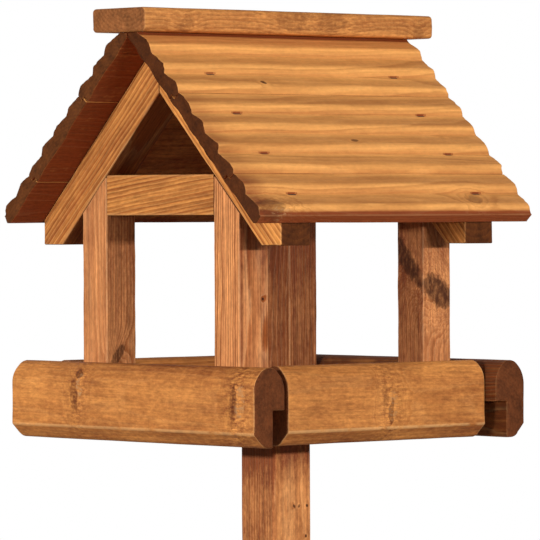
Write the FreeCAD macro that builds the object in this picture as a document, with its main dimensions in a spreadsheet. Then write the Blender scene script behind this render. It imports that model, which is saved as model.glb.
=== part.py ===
import FreeCAD, Part
import os
import Sketcher

# Bird table: a chamfered tray on a post, four uprights and a ribbed gable roof.
# Millimetres, +Z up. The origin is on the ground, on the post's centre line.
# X runs along the gable, from the left rail to the right rail. Y runs along the ridge, front to back.

doc = FreeCAD.newDocument("BirdTable")

# Driving dimensions

SIZES = {
    # Square timber of the uprights and rafters
    "timber": 45,

    # Tray rails: the end rails run along X and the side rails butt between them, but the right
    # one stops short of the front one, so that the tray can be swept out
    "rail_thickness": 47,
    "rail_depth": 92,
    "rail_chamfer": 16,
    "end_rail_overhang": 18.5,
    "sweep_gap": 20,
    "tray_width": 399,
    "tray_length": 431,
    "rebate_depth": 18,
    "rebate_height": 43,

    # Tray floor and the bearers below it
    "floor_thickness": 18,
    "floor_board_count": 4,
    "floor_gap": 3,
    "floor_fit": 0.5,
    "bearer_width": 45,

    # Post, and how far it stands to the right of and behind the tray's middle
    "post_size": 60,
    "post_length": 950,
    "post_round": 4,
    "post_set_right": 7,
    "post_set_back": 7,

    # Gable frames: uprights, tie beam and rafters in one plane
    "frame_inset": 12,
    "opening_height": 172.5,
    "tie_depth": 48,
    "roof_pitch": 45,
    "rafter_overhang": 72,
    "rafter_foot_plumb": 29.5,

    # Roof boards, with ribs along the ridge direction. A rib's crest lies below its middle
    "verge_overhang": 49,
    "eave_overhang": 6.9,
    "top_board_width": 110,
    "board_width": 132,
    "board_thickness": 16.5,
    "rib_pitch": 33,
    "rib_height": 5.2,
    "rib_crest": 22,
    "rib_rise_bow": 0.3,
    "rib_fall_bow": 0.7,
    "board_lap": 6,
    "lap_gap": 0.4,
    "eave_ease": 4.5,

    # Ridge cap
    "ridge_seat": 5.8,
    "cap_width": 93,
    "cap_thickness": 28,
    "cap_overhang": 13.5,
    "cap_round": 5,

    # Base
    "foot_length": 600,
    "foot_width": 45,
    "foot_height": 70,
    "foot_chamfer": 25,
    "foot_lap_gap": 0.3,
    "brace_reach": 250,
    "brace_size": 45,

    # Fixings
    "hole_fit": 0.1,
    "dowel_radius": 5,
    "dowel_length": 50,
    "dowel_spread": 12,
    "rail_dowel_spread": 10,
    "rail_dowel_drop": 32,
    "tie_dowel_rise": 12.5,
    "ridge_dowel_drop": 38,
    "screw_radius": 2.5,
    "screw_head_radius": 4.75,
    "screw_head_height": 3,
    "screw_bite": 22,
    "brace_screw_bite": 16,
    "brace_screw_sink": 5,
    "cap_screw_spread": 12,
    "cap_screw_length": 65,
    "upright_screw_drop": 24,
    "upright_screw_pitch": 14,
    "upright_screw_bite": 30,
    "foot_screw_spread": 12,
    "foot_screw_length": 120,
    "nail_radius": 1.5,
    "nail_head_radius": 3,
    "nail_head_height": 1.2,
    "nail_length": 40,
    "staple_crown": 12.8,
    "staple_wire": 1.3,
    "staple_leg": 38,
    "staple_sink": 1,
    "bolt_radius": 4,
    "bolt_spread": 14,
    "bolt_head_radius": 9,
    "bolt_head_height": 4,
    "bolt_tail": 11,
    "washer_radius": 9,
    "washer_thickness": 1.6,
    "nut_flats": 13,
    "nut_height": 6.5,
}

sizes = doc.addObject("Spreadsheet::Sheet", "sizes")
for row, (alias, number) in enumerate(SIZES.items(), 1):
    sizes.set("A%d" % row, alias)
    sizes.set("B%d" % row, str(number))
    sizes.setAlias("B%d" % row, alias)
doc.recompute()

# Places worked out from the driving dimensions

layout = doc.addObject("Spreadsheet::Sheet", "layout")
layout_row = 0


def place(alias, formula):
    """One place or derived size, as a formula of the driving dimensions."""
    global layout_row
    layout_row += 1
    layout.set("A%d" % layout_row, alias)
    layout.set("B%d" % layout_row, "=" + formula)
    layout.setAlias("B%d" % layout_row, alias)
    doc.recompute()


place("slope_cos", "cos(sizes.roof_pitch * 1 deg)")
place("slope_sin", "sin(sizes.roof_pitch * 1 deg)")
place("slope_rise", "tan(sizes.roof_pitch * 1 deg)")
place("mid_x", "0 - sizes.post_set_right")
place("mid_y", "0 - sizes.post_set_back")
place("floor_under", "sizes.foot_height + sizes.post_length")
place("floor_top", "floor_under + sizes.floor_thickness")
place("rail_bottom", "floor_top - sizes.rebate_height")
place("rail_top", "rail_bottom + sizes.rail_depth")
place("bearer_height", "floor_under - rail_bottom")
place("tray_inner_x", "sizes.tray_width / 2 - sizes.rail_thickness")
place("tray_inner_y", "sizes.tray_length / 2 - sizes.rail_thickness")
place("floor_reach_x", "tray_inner_x + sizes.rebate_depth - sizes.floor_fit")
place("floor_reach_y", "tray_inner_y + sizes.rebate_depth - sizes.floor_fit")
place("floor_gaps", "(sizes.floor_board_count - 1) * sizes.floor_gap")
place("floor_board_width", "(2 * floor_reach_y - floor_gaps) / sizes.floor_board_count")
place("floor_step", "floor_board_width + sizes.floor_gap")
place("bearer_mid", "sizes.post_size / 2 + sizes.bearer_width / 2")
place("end_rail_length", "sizes.tray_width + 2 * sizes.end_rail_overhang")
place("frame_y", "tray_inner_y - sizes.timber / 2")
place("upright_outer", "tray_inner_x - sizes.frame_inset")
place("upright_inner", "upright_outer - sizes.timber")
place("tie_bottom", "rail_top + sizes.opening_height")
place("tie_top", "tie_bottom + sizes.tie_depth")
place("rafter_plumb", "sizes.timber / slope_cos")
place("apex", "tie_top + upright_inner * slope_rise + rafter_plumb")
place("rafter_reach", "upright_outer + sizes.rafter_overhang")
place("foot_level", "0 - rafter_reach * slope_rise - sizes.rafter_foot_plumb")
place("foot_level_inner", "(0 - rafter_plumb - foot_level) / slope_rise")
place("mitre_x", "upright_inner + sizes.timber / 2")
place("slope_length", "(rafter_reach + sizes.eave_overhang) / slope_cos")
place("roof_length", "2 * (tray_inner_y + sizes.verge_overhang)")
place("cap_length", "roof_length + 2 * sizes.cap_overhang")
place("cap_bottom", "apex + sizes.ridge_seat")
place("cap_top", "cap_bottom + sizes.cap_thickness")
place("rebate_mid_x", "tray_inner_x + sizes.rebate_depth / 2")
place("rebate_mid_y", "tray_inner_y + sizes.rebate_depth / 2")


def value(expression):
    """The number that an expression of the two sheets gives now."""
    return float(sizes.evalExpression(expression))


# Drawing helpers

def bind(item, **expressions):
    """Bind properties of an object to expressions. Two underlines in a name stand for a dot."""
    for name, expression in expressions.items():
        item.setExpression(name.replace("__", "."), expression)


def put(item, x="0", y="0", z="0", axis=(0, 0, 1), turn="0"):
    """Give an object its Placement: a place and one turn about an axis, all of them expressions."""
    item.Placement = FreeCAD.Placement(FreeCAD.Vector(), FreeCAD.Rotation(FreeCAD.Vector(*axis), 30))
    bind(item, Placement__Base__x=x, Placement__Base__y=y, Placement__Base__z=z)
    bind(item, Placement__Rotation__Angle=turn)
    return item


def plane_of(body, role):
    """One of a body's own origin planes."""
    return next(item for item in body.Origin.OriginFeatures if item.Role == role)


def outline(body, role, corners):
    """A closed sketch on one of the body's origin planes.

    Each corner is a pair of expressions, or three: the third is the height of the arc
    that runs from this corner to the next, above its chord and on the left of it.
    """
    sketch = body.newObject("Sketcher::SketchObject", "outline")
    sketch.AttachmentSupport = [(plane_of(body, role), "")]
    sketch.MapMode = "FlatFace"
    spots = [FreeCAD.Vector(value(c[0]), value(c[1]), 0) for c in corners]
    ends = []
    for i, corner in enumerate(corners):
        start = spots[i]
        stop = spots[(i + 1) % len(spots)]
        if len(corner) == 3:
            along = stop - start
            left = FreeCAD.Vector(-along.y, along.x, 0).normalize()
            top = (start + stop) / 2 + left * value(corner[2])
            edge = sketch.addGeometry(Part.Arc(start, top, stop), False)
            first_gap = sketch.getPoint(edge, 1).distanceToPoint(start)
            second_gap = sketch.getPoint(edge, 2).distanceToPoint(start)
            ends.append((edge, 1, 2) if first_gap < second_gap else (edge, 2, 1))
        else:
            edge = sketch.addGeometry(Part.LineSegment(start, stop), False)
            ends.append((edge, 1, 2))
    for i, corner in enumerate(corners):
        edge, first, last = ends[i]
        following = ends[(i + 1) % len(ends)]
        sketch.addConstraint(Sketcher.Constraint("Coincident", edge, last, following[0], following[1]))
        across = sketch.addConstraint(Sketcher.Constraint("DistanceX", -1, 1, edge, first, spots[i].x))
        sketch.setExpression("Constraints[%d]" % across, corner[0])
        upward = sketch.addConstraint(Sketcher.Constraint("DistanceY", -1, 1, edge, first, spots[i].y))
        sketch.setExpression("Constraints[%d]" % upward, corner[1])
        if len(corner) == 3:
            radius = "(((%s) - (%s))^2 + ((%s) - (%s))^2 + 4 * (%s)^2) / (8 * abs(%s))"
            after = corners[(i + 1) % len(corners)]
            radius = radius % (after[0], corner[0], after[1], corner[1], corner[2], corner[2])
            bend = sketch.addConstraint(Sketcher.Constraint("Radius", edge, value(radius)))
            sketch.setExpression("Constraints[%d]" % bend, radius)
    doc.recompute()
    return sketch


def timber_body(label, role, corners, length, both_ways=True):
    """A piece of one section: an outline padded along its length."""
    body = doc.addObject("PartDesign::Body", label)
    pad = body.newObject("PartDesign::Pad", "length")
    pad.Profile = outline(body, role, corners)
    pad.SideType = "Symmetric" if both_ways else "One side"
    bind(pad, Length=length)
    body.Tip = pad
    doc.recompute()
    return body


def block(label, x, y, z):
    """A square-edged board or block, its three sizes given as expressions."""
    item = doc.addObject("Part::Box", label)
    bind(item, Length=x, Width=y, Height=z)
    return item


def rod(label, radius, length):
    """A round bar along its own Z."""
    item = doc.addObject("Part::Cylinder", label)
    bind(item, Radius=radius, Height=length)
    return item


def group(label, items):
    """Several solids, or the parts of one, as one object."""
    if len(items) == 1:
        items[0].Label = label
        return items[0]
    item = doc.addObject("Part::MultiFuse", label)
    item.Shapes = items
    return item


node_names = []


def finish(item, name, *holes):
    """Name a finished sub-part. Where fixings pass through it, their holes are cut first."""
    if holes:
        tool = holes[0] if len(holes) == 1 else group(name + "_holes", list(holes))
        item.Label = name + "_uncut"
        cut = doc.addObject("Part::Cut", name)
        cut.Base = item
        cut.Tool = tool
        item = cut
    item.Label = name
    node_names.append(name)
    return item


# Each family of fixings is a node of its own. Its holes are one shared cutter, a little larger.

AXES = {"+x": ((0, 1, 0), "90"), "-x": ((0, 1, 0), "-90"), "+y": ((1, 0, 0), "-90"),
        "-y": ((1, 0, 0), "90"), "+z": ((0, 0, 1), "0"), "-z": ((1, 0, 0), "180")}


def moved(place_of, heading, distance):
    """A place moved by a distance along one of the six headings, as expressions."""
    step = "(%s)%s(%s)"
    return tuple(step % (place_of[i], "-" if heading[0] == "-" else "+", distance)
                 if "xyz"[i] == heading[1] else place_of[i] for i in range(3))


def dowels(name, spots, heading):
    """Round dowels centred on their spots. Gives their cutter."""
    axis, turn = AXES[heading]
    pins = []
    cutters = []
    for i, spot in enumerate(spots):
        x, y, z = moved(spot, heading, "0 - sizes.dowel_length / 2")
        pins.append(put(rod("%s_%d" % (name, i + 1), "sizes.dowel_radius", "sizes.dowel_length"),
                        x, y, z, axis, turn))
        cutters.append(put(rod("%s_hole_%d" % (name, i + 1), "sizes.dowel_radius + sizes.hole_fit",
                               "sizes.dowel_length"), x, y, z, axis, turn))
    return pins, group(name + "_cutter", cutters)


def straight(spot, heading, length, head_height):
    """A fixing along an axis: the places of its tip and of its head, then its turn."""
    tip = moved(spot, heading, "0 - (%s)" % length)
    return tip, moved(spot, heading, "0 - (%s)" % head_height), AXES[heading]


def headed(name, places, length, kind, sink="0"):
    """Nails or screws at their places, and their cutter, which is open above the head by the sink."""
    radius, head_radius, head_height = kind
    solids = []
    cutters = []
    for i, (tip, under_head, turn) in enumerate(places, 1):
        shank = rod("%s_shank_%d" % (name, i), radius, "(%s) - (%s)" % (length, head_height))
        head = rod("%s_head_%d" % (name, i), head_radius, head_height)
        bore = rod("%s_bore_%d" % (name, i), radius + " + sizes.hole_fit", length)
        seat = rod("%s_seat_%d" % (name, i), head_radius + " + sizes.hole_fit",
                   "(%s) + (%s)" % (head_height, sink))
        solids.append(group("%s_%d" % (name, i), [put(shank, *tip, *turn), put(head, *under_head, *turn)]))
        cutters += [put(bore, *tip, *turn), put(seat, *under_head, *turn)]
    return solids, group(name + "_cutter", cutters)


# A place on a roof slope: how far down the slope, how far along the ridge, and how high above
# the boards' underside. Side is 1 on the right slope and -1 on the left one.

def slope_spot(side, down, along, above):
    """The place in the part's frame, as expressions."""
    x = "layout.mid_x + %d * ((%s) * layout.slope_cos + (%s) * layout.slope_sin)" % (side, down, above)
    z = "layout.apex - (%s) * layout.slope_sin + (%s) * layout.slope_cos" % (down, above)
    return x, "layout.mid_y + (%s)" % along, z


def slope_turn(side):
    """The turn about Y that lays an upright object square to a slope."""
    return (0, 1, 0), "%d * sizes.roof_pitch" % side


# Rows of the places where pieces repeat

SIDES = ((1, "right"), (-1, "left"))
GABLES = ((-1, "front"), (1, "back"))
BOTH = (-1, 1)


def from_mid_x(side, distance):
    """A place in X, measured from the tray's middle."""
    return "layout.mid_x + %d * (%s)" % (side, distance)


def from_mid_y(side, distance):
    """A place in Y, measured from the tray's middle."""
    return "layout.mid_y + %d * (%s)" % (side, distance)


# Dowels in the tray's closed corners, the tie beams' ends and the ridge mitres

corner_x = "sizes.tray_width / 2 - sizes.rail_thickness / 2 + %d * sizes.rail_dowel_spread"
corner_spots = [(from_mid_x(i, corner_x % k), from_mid_y(j, "layout.tray_inner_y"),
                 "layout.rail_top - sizes.rail_dowel_drop")
                for i, j in ((-1, -1), (-1, 1), (1, 1)) for k in BOTH]
rail_pins, rail_dowel_cutter = dowels("rail_dowel", corner_spots, "+y")
finish(group("rail_dowels", rail_pins), "rail_dowels")

tie_spots = [(from_mid_x(i, "layout.upright_inner"),
              from_mid_y(j, "layout.frame_y + %d * sizes.dowel_spread" % k),
              "layout.tie_bottom + sizes.tie_dowel_rise") for i in BOTH for j in BOTH for k in BOTH]
ridge_spots = [("layout.mid_x", from_mid_y(j, "layout.frame_y + %d * sizes.dowel_spread" % k),
                "layout.apex - sizes.ridge_dowel_drop") for j in BOTH for k in BOTH]
frame_pins, frame_dowel_cutter = dowels("frame_dowel", tie_spots + ridge_spots, "+x")
finish(group("frame_dowels", frame_pins), "frame_dowels")

# Screws and nails, one family at a time

SCREW = ("sizes.screw_radius", "sizes.screw_head_radius", "sizes.screw_head_height")
NAIL = ("sizes.nail_radius", "sizes.nail_head_radius", "sizes.nail_head_height")


def screws(name, spots, heading, length, kind=SCREW):
    """A straight family of nails or screws, finished as a node. Gives its cutter."""
    places = [straight(spot, heading, length, kind[2]) for spot in spots]
    solids, cutter = headed(name, places, length, kind)
    finish(group(name + "s", solids), name + "s")
    return cutter


upright_front = screws(
    "front_upright_screw",
    [(from_mid_x(i, "layout.mitre_x"), from_mid_y(-1, "layout.tray_inner_y - sizes.timber"),
      "layout.rail_top - sizes.upright_screw_drop - %d * sizes.upright_screw_pitch" % k)
     for i in BOTH for k in (0, 1)], "+y", "sizes.timber + sizes.upright_screw_bite")
upright_back = screws(
    "back_upright_screw",
    [(from_mid_x(i, "layout.mitre_x"), from_mid_y(1, "layout.tray_inner_y - sizes.timber"),
      "layout.rail_top - sizes.upright_screw_drop - %d * sizes.upright_screw_pitch" % k)
     for i in BOTH for k in (0, 1)], "-y", "sizes.timber + sizes.upright_screw_bite")

bearer_screw_cutter = screws(
    "bearer_screw",
    [("%d * layout.bearer_mid" % i, from_mid_y(j, "layout.rebate_mid_y"), "layout.rail_bottom")
     for i in BOTH for j in BOTH], "-z", "sizes.rebate_height + sizes.screw_bite")
floor_screw_cutter = screws(
    "floor_screw",
    [(from_mid_x(i, "layout.rebate_mid_x"), from_mid_y(j, "layout.floor_step / 2"), "layout.floor_under")
     for i in BOTH for j in BOTH], "-z", "sizes.floor_thickness + sizes.screw_bite")
floor_nail_cutter = screws(
    "floor_nail",
    [("%d * layout.bearer_mid" % i,
      "layout.mid_y + (%d - (sizes.floor_board_count - 1) / 2) * layout.floor_step" % n, "layout.floor_top")
     for i in BOTH for n in range(int(value("sizes.floor_board_count")))], "+z", "sizes.nail_length", NAIL)
foot_screw_cutter = screws(
    "foot_screw",
    [("%d * sizes.foot_screw_spread" % i, "%d * sizes.foot_screw_spread" % i, "0") for i in BOTH],
    "-z", "sizes.foot_screw_length")
ridge_screw_cutter = screws(
    "ridge_screw",
    [(from_mid_x(i, "sizes.cap_screw_spread"), from_mid_y(j, "layout.frame_y"), "layout.cap_top")
     for i in BOTH for j in BOTH], "+z", "sizes.cap_screw_length")

# Screws of the braces: one level into the post and one upright into the foot, on each brace

brace_half = "sizes.brace_size * sqrt(2) / 2"
brace_mid = "(sizes.brace_reach - %s)" % brace_half
brace_skin = "(%s - sizes.brace_screw_sink)" % brace_half
brace_screw_length = brace_skin + " + sizes.brace_screw_bite"
out = "sizes.post_size / 2 + "
up = "sizes.foot_height + "
brace_places = []
for side, sideways, endways in ((1, "+x", "+y"), (-1, "-x", "-y")):
    away = "%d * (%s)"
    for spot, heading in (((away % (side, out + brace_skin), "0", up + brace_mid), sideways),
                          (("0", away % (side, out + brace_skin), up + brace_mid), endways),
                          ((away % (side, out + brace_mid), "0", up + brace_skin), "+z"),
                          (("0", away % (side, out + brace_mid), up + brace_skin), "+z")):
        brace_places.append(straight(spot, heading, brace_screw_length, SCREW[2]))
brace_solids, brace_screw_cutter = headed("brace_screw", brace_places, brace_screw_length, SCREW,
                                          "sizes.brace_screw_sink + 2 * sizes.screw_head_radius")
finish(group("brace_screws", brace_solids), "brace_screws")

# Screws through the rafters, square to the slope, into the mitred tops of the uprights

rafter_screw_length = "sizes.timber + sizes.screw_bite"
rafter_screw_down = "layout.mitre_x / layout.slope_cos + sizes.timber * layout.slope_rise"
rafter_places = []
for side in BOTH:
    for end in BOTH:
        where = (side, rafter_screw_down, "%d * layout.frame_y" % end)
        rafter_places.append((slope_spot(*where, "0 - (%s)" % rafter_screw_length),
                              slope_spot(*where, "0 - sizes.screw_head_height"), slope_turn(side)))
rafter_solids, rafter_screw_cutter = headed("rafter_screw", rafter_places, rafter_screw_length, SCREW)
finish(group("rafter_screws", rafter_solids), "rafter_screws")

# Staples through the roof boards, in the groove beside each seam

def slope_block(name, side, down, along, above, sizes_of, spread):
    """A block square to a slope: its three sizes, and its middle's place down and along the slope."""
    long_way, wide, high = sizes_of
    item = block(name, "(%s) + 2 * (%s)" % (long_way, spread), "(%s) + 2 * (%s)" % (wide, spread), high)
    corner_down = "(%s) - %d * ((%s) / 2 + (%s))" % (down, side, long_way, spread)
    corner_along = "(%s) - (%s) / 2 - (%s)" % (along, wide, spread)
    axis, turn = slope_turn(side)
    return put(item, *slope_spot(side, corner_down, corner_along, above), axis, turn)


board_seams = [value("sizes.top_board_width")]
last_seam = value("layout.slope_length") - value("sizes.rib_pitch")
while board_seams[-1] + value("sizes.board_width") < last_seam:
    board_seams.append(board_seams[-1] + value("sizes.board_width"))
seam_places = ["sizes.top_board_width + %d * sizes.board_width" % n for n in range(len(board_seams))]
staple_rows = []
for seam in seam_places:
    staple_rows += [seam + " - sizes.rib_pitch", seam + " + sizes.rib_pitch"]

staple_solids = []
staple_cutters = []
crown_floor = "(sizes.board_thickness - sizes.staple_sink - sizes.staple_wire)"
leg_floor = "(sizes.board_thickness - sizes.staple_sink - sizes.staple_leg)"
leg_offset = "(sizes.staple_crown - sizes.staple_wire) / 2"
for side in BOTH:
    for end in BOTH:
        for row in staple_rows:
            tag = "staple_%d" % (len(staple_solids) + 1)
            middle = "%d * layout.frame_y" % end
            wire = "sizes.staple_wire"
            crown_of = (wire, "sizes.staple_crown", wire)
            slot_of = (wire, "sizes.staple_crown", "sizes.board_thickness")
            leg_of = (wire, wire, "sizes.staple_leg")
            parts = [slope_block(tag + "_crown", side, row, middle, crown_floor, crown_of, "0")]
            holes = [slope_block(tag + "_slot", side, row, middle, crown_floor, slot_of, "sizes.hole_fit")]
            for leg in BOTH:
                along = "%s + %d * %s" % (middle, leg, leg_offset)
                parts.append(slope_block("%s_leg" % tag, side, row, along, leg_floor, leg_of, "0"))
                bore = slope_block("%s_bore" % tag, side, row, along, leg_floor, leg_of, "sizes.hole_fit")
                holes.append(bore)
            staple_solids.append(group(tag, parts))
            staple_cutters += holes
finish(group("roof_staples", staple_solids), "roof_staples")
staple_cutter = group("staple_cutter", staple_cutters)

# Coach bolts through the bearers and the post, with a washer at each end and a nut on the right

bolt_z = "layout.rail_bottom + layout.bearer_height / 2"
bolt_grip = "(2 * layout.bearer_mid + sizes.bearer_width)"
bolts = []
washers = []
nuts = []
bolt_holes = []
for i in BOTH:
    y = "%d * sizes.bolt_spread" % i
    left = "0 - %s / 2 - sizes.washer_thickness" % bolt_grip
    right = "%s / 2" % bolt_grip
    axis, turn = AXES["+x"]
    shank_length = bolt_grip + " + sizes.washer_thickness + sizes.bolt_tail"
    shank = rod("bolt_shank", "sizes.bolt_radius", shank_length)
    head = rod("bolt_head", "sizes.bolt_head_radius", "sizes.bolt_head_height")
    bolts.append(group("bolt", [put(shank, left, y, bolt_z, axis, turn),
                                put(head, left + " - sizes.bolt_head_height", y, bolt_z, axis, turn)]))
    hole = rod("bolt_hole", "sizes.bolt_radius + sizes.hole_fit", bolt_grip + " + 2 * sizes.bolt_tail")
    bolt_holes.append(put(hole, left + " - sizes.bolt_head_height", y, bolt_z, axis, turn))
    for start in (left, right):
        disc = rod("washer_disc", "sizes.washer_radius", "sizes.washer_thickness")
        washers.append(put(disc, start, y, bolt_z, axis, turn))
    nut = doc.addObject("Part::Prism", "nut_blank")
    nut.Polygon = 6
    bind(nut, Circumradius="sizes.nut_flats / sqrt(3)", Height="sizes.nut_height")
    nuts.append(put(nut, right + " + sizes.washer_thickness", y, bolt_z, axis, turn))
bolt_cutter = group("bolt_cutter", bolt_holes)
finish(group("coach_bolts", bolts), "coach_bolts")
finish(group("washers_uncut", washers), "washers", bolt_cutter)
finish(group("nuts_uncut", nuts), "nuts", bolt_cutter)

# Tray rails: an eight-sided section with a rebate in the lower inner corner for the floor


def rail_outline():
    """The section, from the outer face inwards and from the rail's bottom up."""
    chamfer = "sizes.rail_chamfer"
    inner = "sizes.rail_thickness"
    top = "sizes.rail_depth"
    wall = "sizes.rail_thickness - sizes.rebate_depth"
    return [(chamfer, "0"), (wall, "0"), (wall, "sizes.rebate_height"), (inner, "sizes.rebate_height"),
            (inner, top + " - " + chamfer), (inner + " - " + chamfer, top), (chamfer, top),
            ("0", top + " - " + chamfer), ("0", chamfer)]


def rail(name, length, x, y, turn, holes):
    """One rail, turned so that its rebate faces the tray."""
    body = timber_body(name + "_body", "YZ_Plane", rail_outline(), length)
    finish(put(body, x, y, "layout.rail_bottom", (0, 0, 1), turn), name, *holes)


end_holes = [rail_dowel_cutter, bearer_screw_cutter]
rail("rail_front", "layout.end_rail_length", "layout.mid_x", from_mid_y(-1, "sizes.tray_length / 2"), "0",
     end_holes + [upright_front])
rail("rail_back", "layout.end_rail_length", "layout.mid_x", from_mid_y(1, "sizes.tray_length / 2"), "180",
     end_holes + [upright_back])
rail("rail_right", "2 * layout.tray_inner_y - sizes.sweep_gap", from_mid_x(1, "sizes.tray_width / 2"),
     "layout.mid_y + sizes.sweep_gap / 2", "90", [rail_dowel_cutter, floor_screw_cutter])
rail("rail_left", "2 * layout.tray_inner_y", from_mid_x(-1, "sizes.tray_width / 2"), "layout.mid_y", "-90",
     [rail_dowel_cutter, floor_screw_cutter])

# Tray floor and bearers

for n in range(int(value("sizes.floor_board_count"))):
    board = block("floor_board_%d_blank" % (n + 1), "2 * layout.floor_reach_x", "layout.floor_board_width",
                  "sizes.floor_thickness")
    put(board, "layout.mid_x - layout.floor_reach_x",
        "layout.mid_y - layout.floor_reach_y + %d * layout.floor_step" % n, "layout.floor_under")
    finish(board, "floor_board_%d" % (n + 1), floor_nail_cutter, floor_screw_cutter, bearer_screw_cutter)

for side, word in SIDES:
    bearer = block("bearer_blank", "sizes.bearer_width", "2 * layout.floor_reach_y", "layout.bearer_height")
    put(bearer, "%d * layout.bearer_mid - sizes.bearer_width / 2" % side,
        "layout.mid_y - layout.floor_reach_y", "layout.rail_bottom")
    finish(bearer, "bearer_" + word, floor_nail_cutter, bearer_screw_cutter, bolt_cutter)

# Post, with rounded arrises


def rounded_square(half, bend):
    """A square about the origin, each corner a quarter circle."""
    flat = "(%s) - (%s)" % (half, bend)
    minus = "0 - (%s)"
    dip = "0 - (%s) * (1 - sqrt(2) / 2)" % bend
    return [(flat, minus % half, dip), (half, minus % ("(%s)" % flat)), (half, flat, dip), (flat, half),
            (minus % ("(%s)" % flat), half, dip), (minus % half, flat),
            (minus % half, minus % ("(%s)" % flat), dip), (minus % ("(%s)" % flat), minus % half)]


post = timber_body("post_body", "XY_Plane", rounded_square("sizes.post_size / 2", "sizes.post_round"),
                   "sizes.post_length", both_ways=False)
finish(put(post, z="sizes.foot_height"), "post", bolt_cutter, foot_screw_cutter, brace_screw_cutter)

# Gable frames

for side, word in SIDES:
    for end, gable in GABLES:
        inner = "%d * layout.upright_inner" % side
        outer = "%d * layout.upright_outer" % side
        inner_top = "layout.tie_top - layout.floor_top"
        outer_top = inner_top + " - sizes.timber * layout.slope_rise"
        upright = timber_body("upright_body", "XZ_Plane",
                              [(inner, "0"), (outer, "0"), (outer, outer_top), (inner, inner_top)],
                              "sizes.timber")
        put(upright, "layout.mid_x", from_mid_y(end, "layout.frame_y"), "layout.floor_top")
        finish(upright, "upright_%s_%s" % (gable, word), upright_front if end < 0 else upright_back,
               frame_dowel_cutter, rafter_screw_cutter)

        reach = "%d * layout.rafter_reach" % side
        rafter = timber_body("rafter_body", "XZ_Plane",
                             [("0", "0 - layout.rafter_plumb"), ("%d * layout.foot_level_inner" % side,
                                                                 "layout.foot_level"),
                              (reach, "layout.foot_level"),
                              (reach, "layout.foot_level + sizes.rafter_foot_plumb"), ("0", "0")],
                             "sizes.timber")
        put(rafter, "layout.mid_x", from_mid_y(end, "layout.frame_y"), "layout.apex")
        finish(rafter, "rafter_%s_%s" % (gable, word), frame_dowel_cutter, rafter_screw_cutter,
               ridge_screw_cutter, staple_cutter)

for end, gable in GABLES:
    tie = block("tie_beam_blank", "2 * layout.upright_inner", "sizes.timber", "sizes.tie_depth")
    put(tie, "layout.mid_x - layout.upright_inner",
        from_mid_y(end, "layout.frame_y") + " - sizes.timber / 2", "layout.tie_bottom")
    finish(tie, "tie_beam_" + gable, frame_dowel_cutter)

# Roof boards: a flat back, ribs outside, and half-lapped edges


def ribs(start, count, side):
    """Corners of the ribs down the slope: a valley and a crest for each, with the arc to the next."""
    corners = []
    for k in range(count):
        valley = "%s + %d * sizes.rib_pitch" % (start, k)
        corners.append(("%d * (%s)" % (side, valley), "sizes.board_thickness",
                        "%d * sizes.rib_rise_bow" % side))
        corners.append(("%d * (%s + sizes.rib_crest)" % (side, valley),
                        "sizes.board_thickness + sizes.rib_height", "%d * sizes.rib_fall_bow" % side))
    return corners


def rib_count(start, stop):
    """How many whole ribs fit between two places on the slope."""
    return int((value(stop) - value(start)) / value("sizes.rib_pitch") + 0.001)


half_board = "sizes.board_thickness / 2"
for side, word in SIDES:
    starts = [""] + seam_places
    stops = seam_places + ["layout.slope_length"]
    for number, (start, stop) in enumerate(zip(starts, stops), 1):
        corners = []
        if start:
            open_edge = start + " + sizes.lap_gap"
            tongue = start + " - sizes.board_lap + sizes.lap_gap"
            corners += [("%d * (%s)" % (side, tongue), "0"),
                        ("%d * (%s)" % (side, tongue), half_board + " - sizes.lap_gap"),
                        ("%d * (%s)" % (side, open_edge), half_board + " - sizes.lap_gap"),
                        ("%d * (%s)" % (side, open_edge), "sizes.board_thickness")]
            count = rib_count(start, stop)
            row = ribs(start, count, side)[1:]
            corners[-1] = (corners[-1][0], corners[-1][1], "%d * sizes.rib_rise_bow" % side)
            corners += row
            last = "%s + %d * sizes.rib_pitch" % (start, count)
        else:
            count = rib_count("0", stop)
            first = "%s - %d * sizes.rib_pitch" % (stop, count)
            level = "(sizes.board_thickness * layout.slope_cos - sizes.ridge_seat) / layout.slope_sin"
            corners += [("0", "0"),
                        ("0 - %d * sizes.ridge_seat * layout.slope_sin" % side,
                         "sizes.ridge_seat * layout.slope_cos"),
                        ("%d * (%s)" % (side, level), "sizes.board_thickness")]
            corners += ribs(first, count, side)
            last = stop
        if stop == "layout.slope_length":
            rest = "(layout.slope_length - (%s))" % last
            nib = "sizes.board_thickness + %s * sizes.rib_height / sizes.rib_crest" % rest
            corners += [("%d * (%s)" % (side, last), "sizes.board_thickness"),
                        ("%d * layout.slope_length" % side, nib),
                        ("%d * layout.slope_length" % side, "sizes.eave_ease"),
                        ("%d * (layout.slope_length - sizes.eave_ease)" % side, "0")]
        else:
            corners += [("%d * (%s)" % (side, last), "sizes.board_thickness"),
                        ("%d * (%s)" % (side, last), half_board),
                        ("%d * (%s - sizes.board_lap)" % (side, last), half_board),
                        ("%d * (%s - sizes.board_lap)" % (side, last), "0")]
        board = timber_body("roof_board_body", "XZ_Plane", corners, "layout.roof_length")
        axis, turn = slope_turn(side)
        put(board, "layout.mid_x", "layout.mid_y", "layout.apex", axis, turn)
        holes = [staple_cutter, ridge_screw_cutter] if not start else [staple_cutter]
        finish(board, "roof_board_%s_%d" % (word, number), *holes)

# Ridge cap, a flat board with rounded arrises

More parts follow.
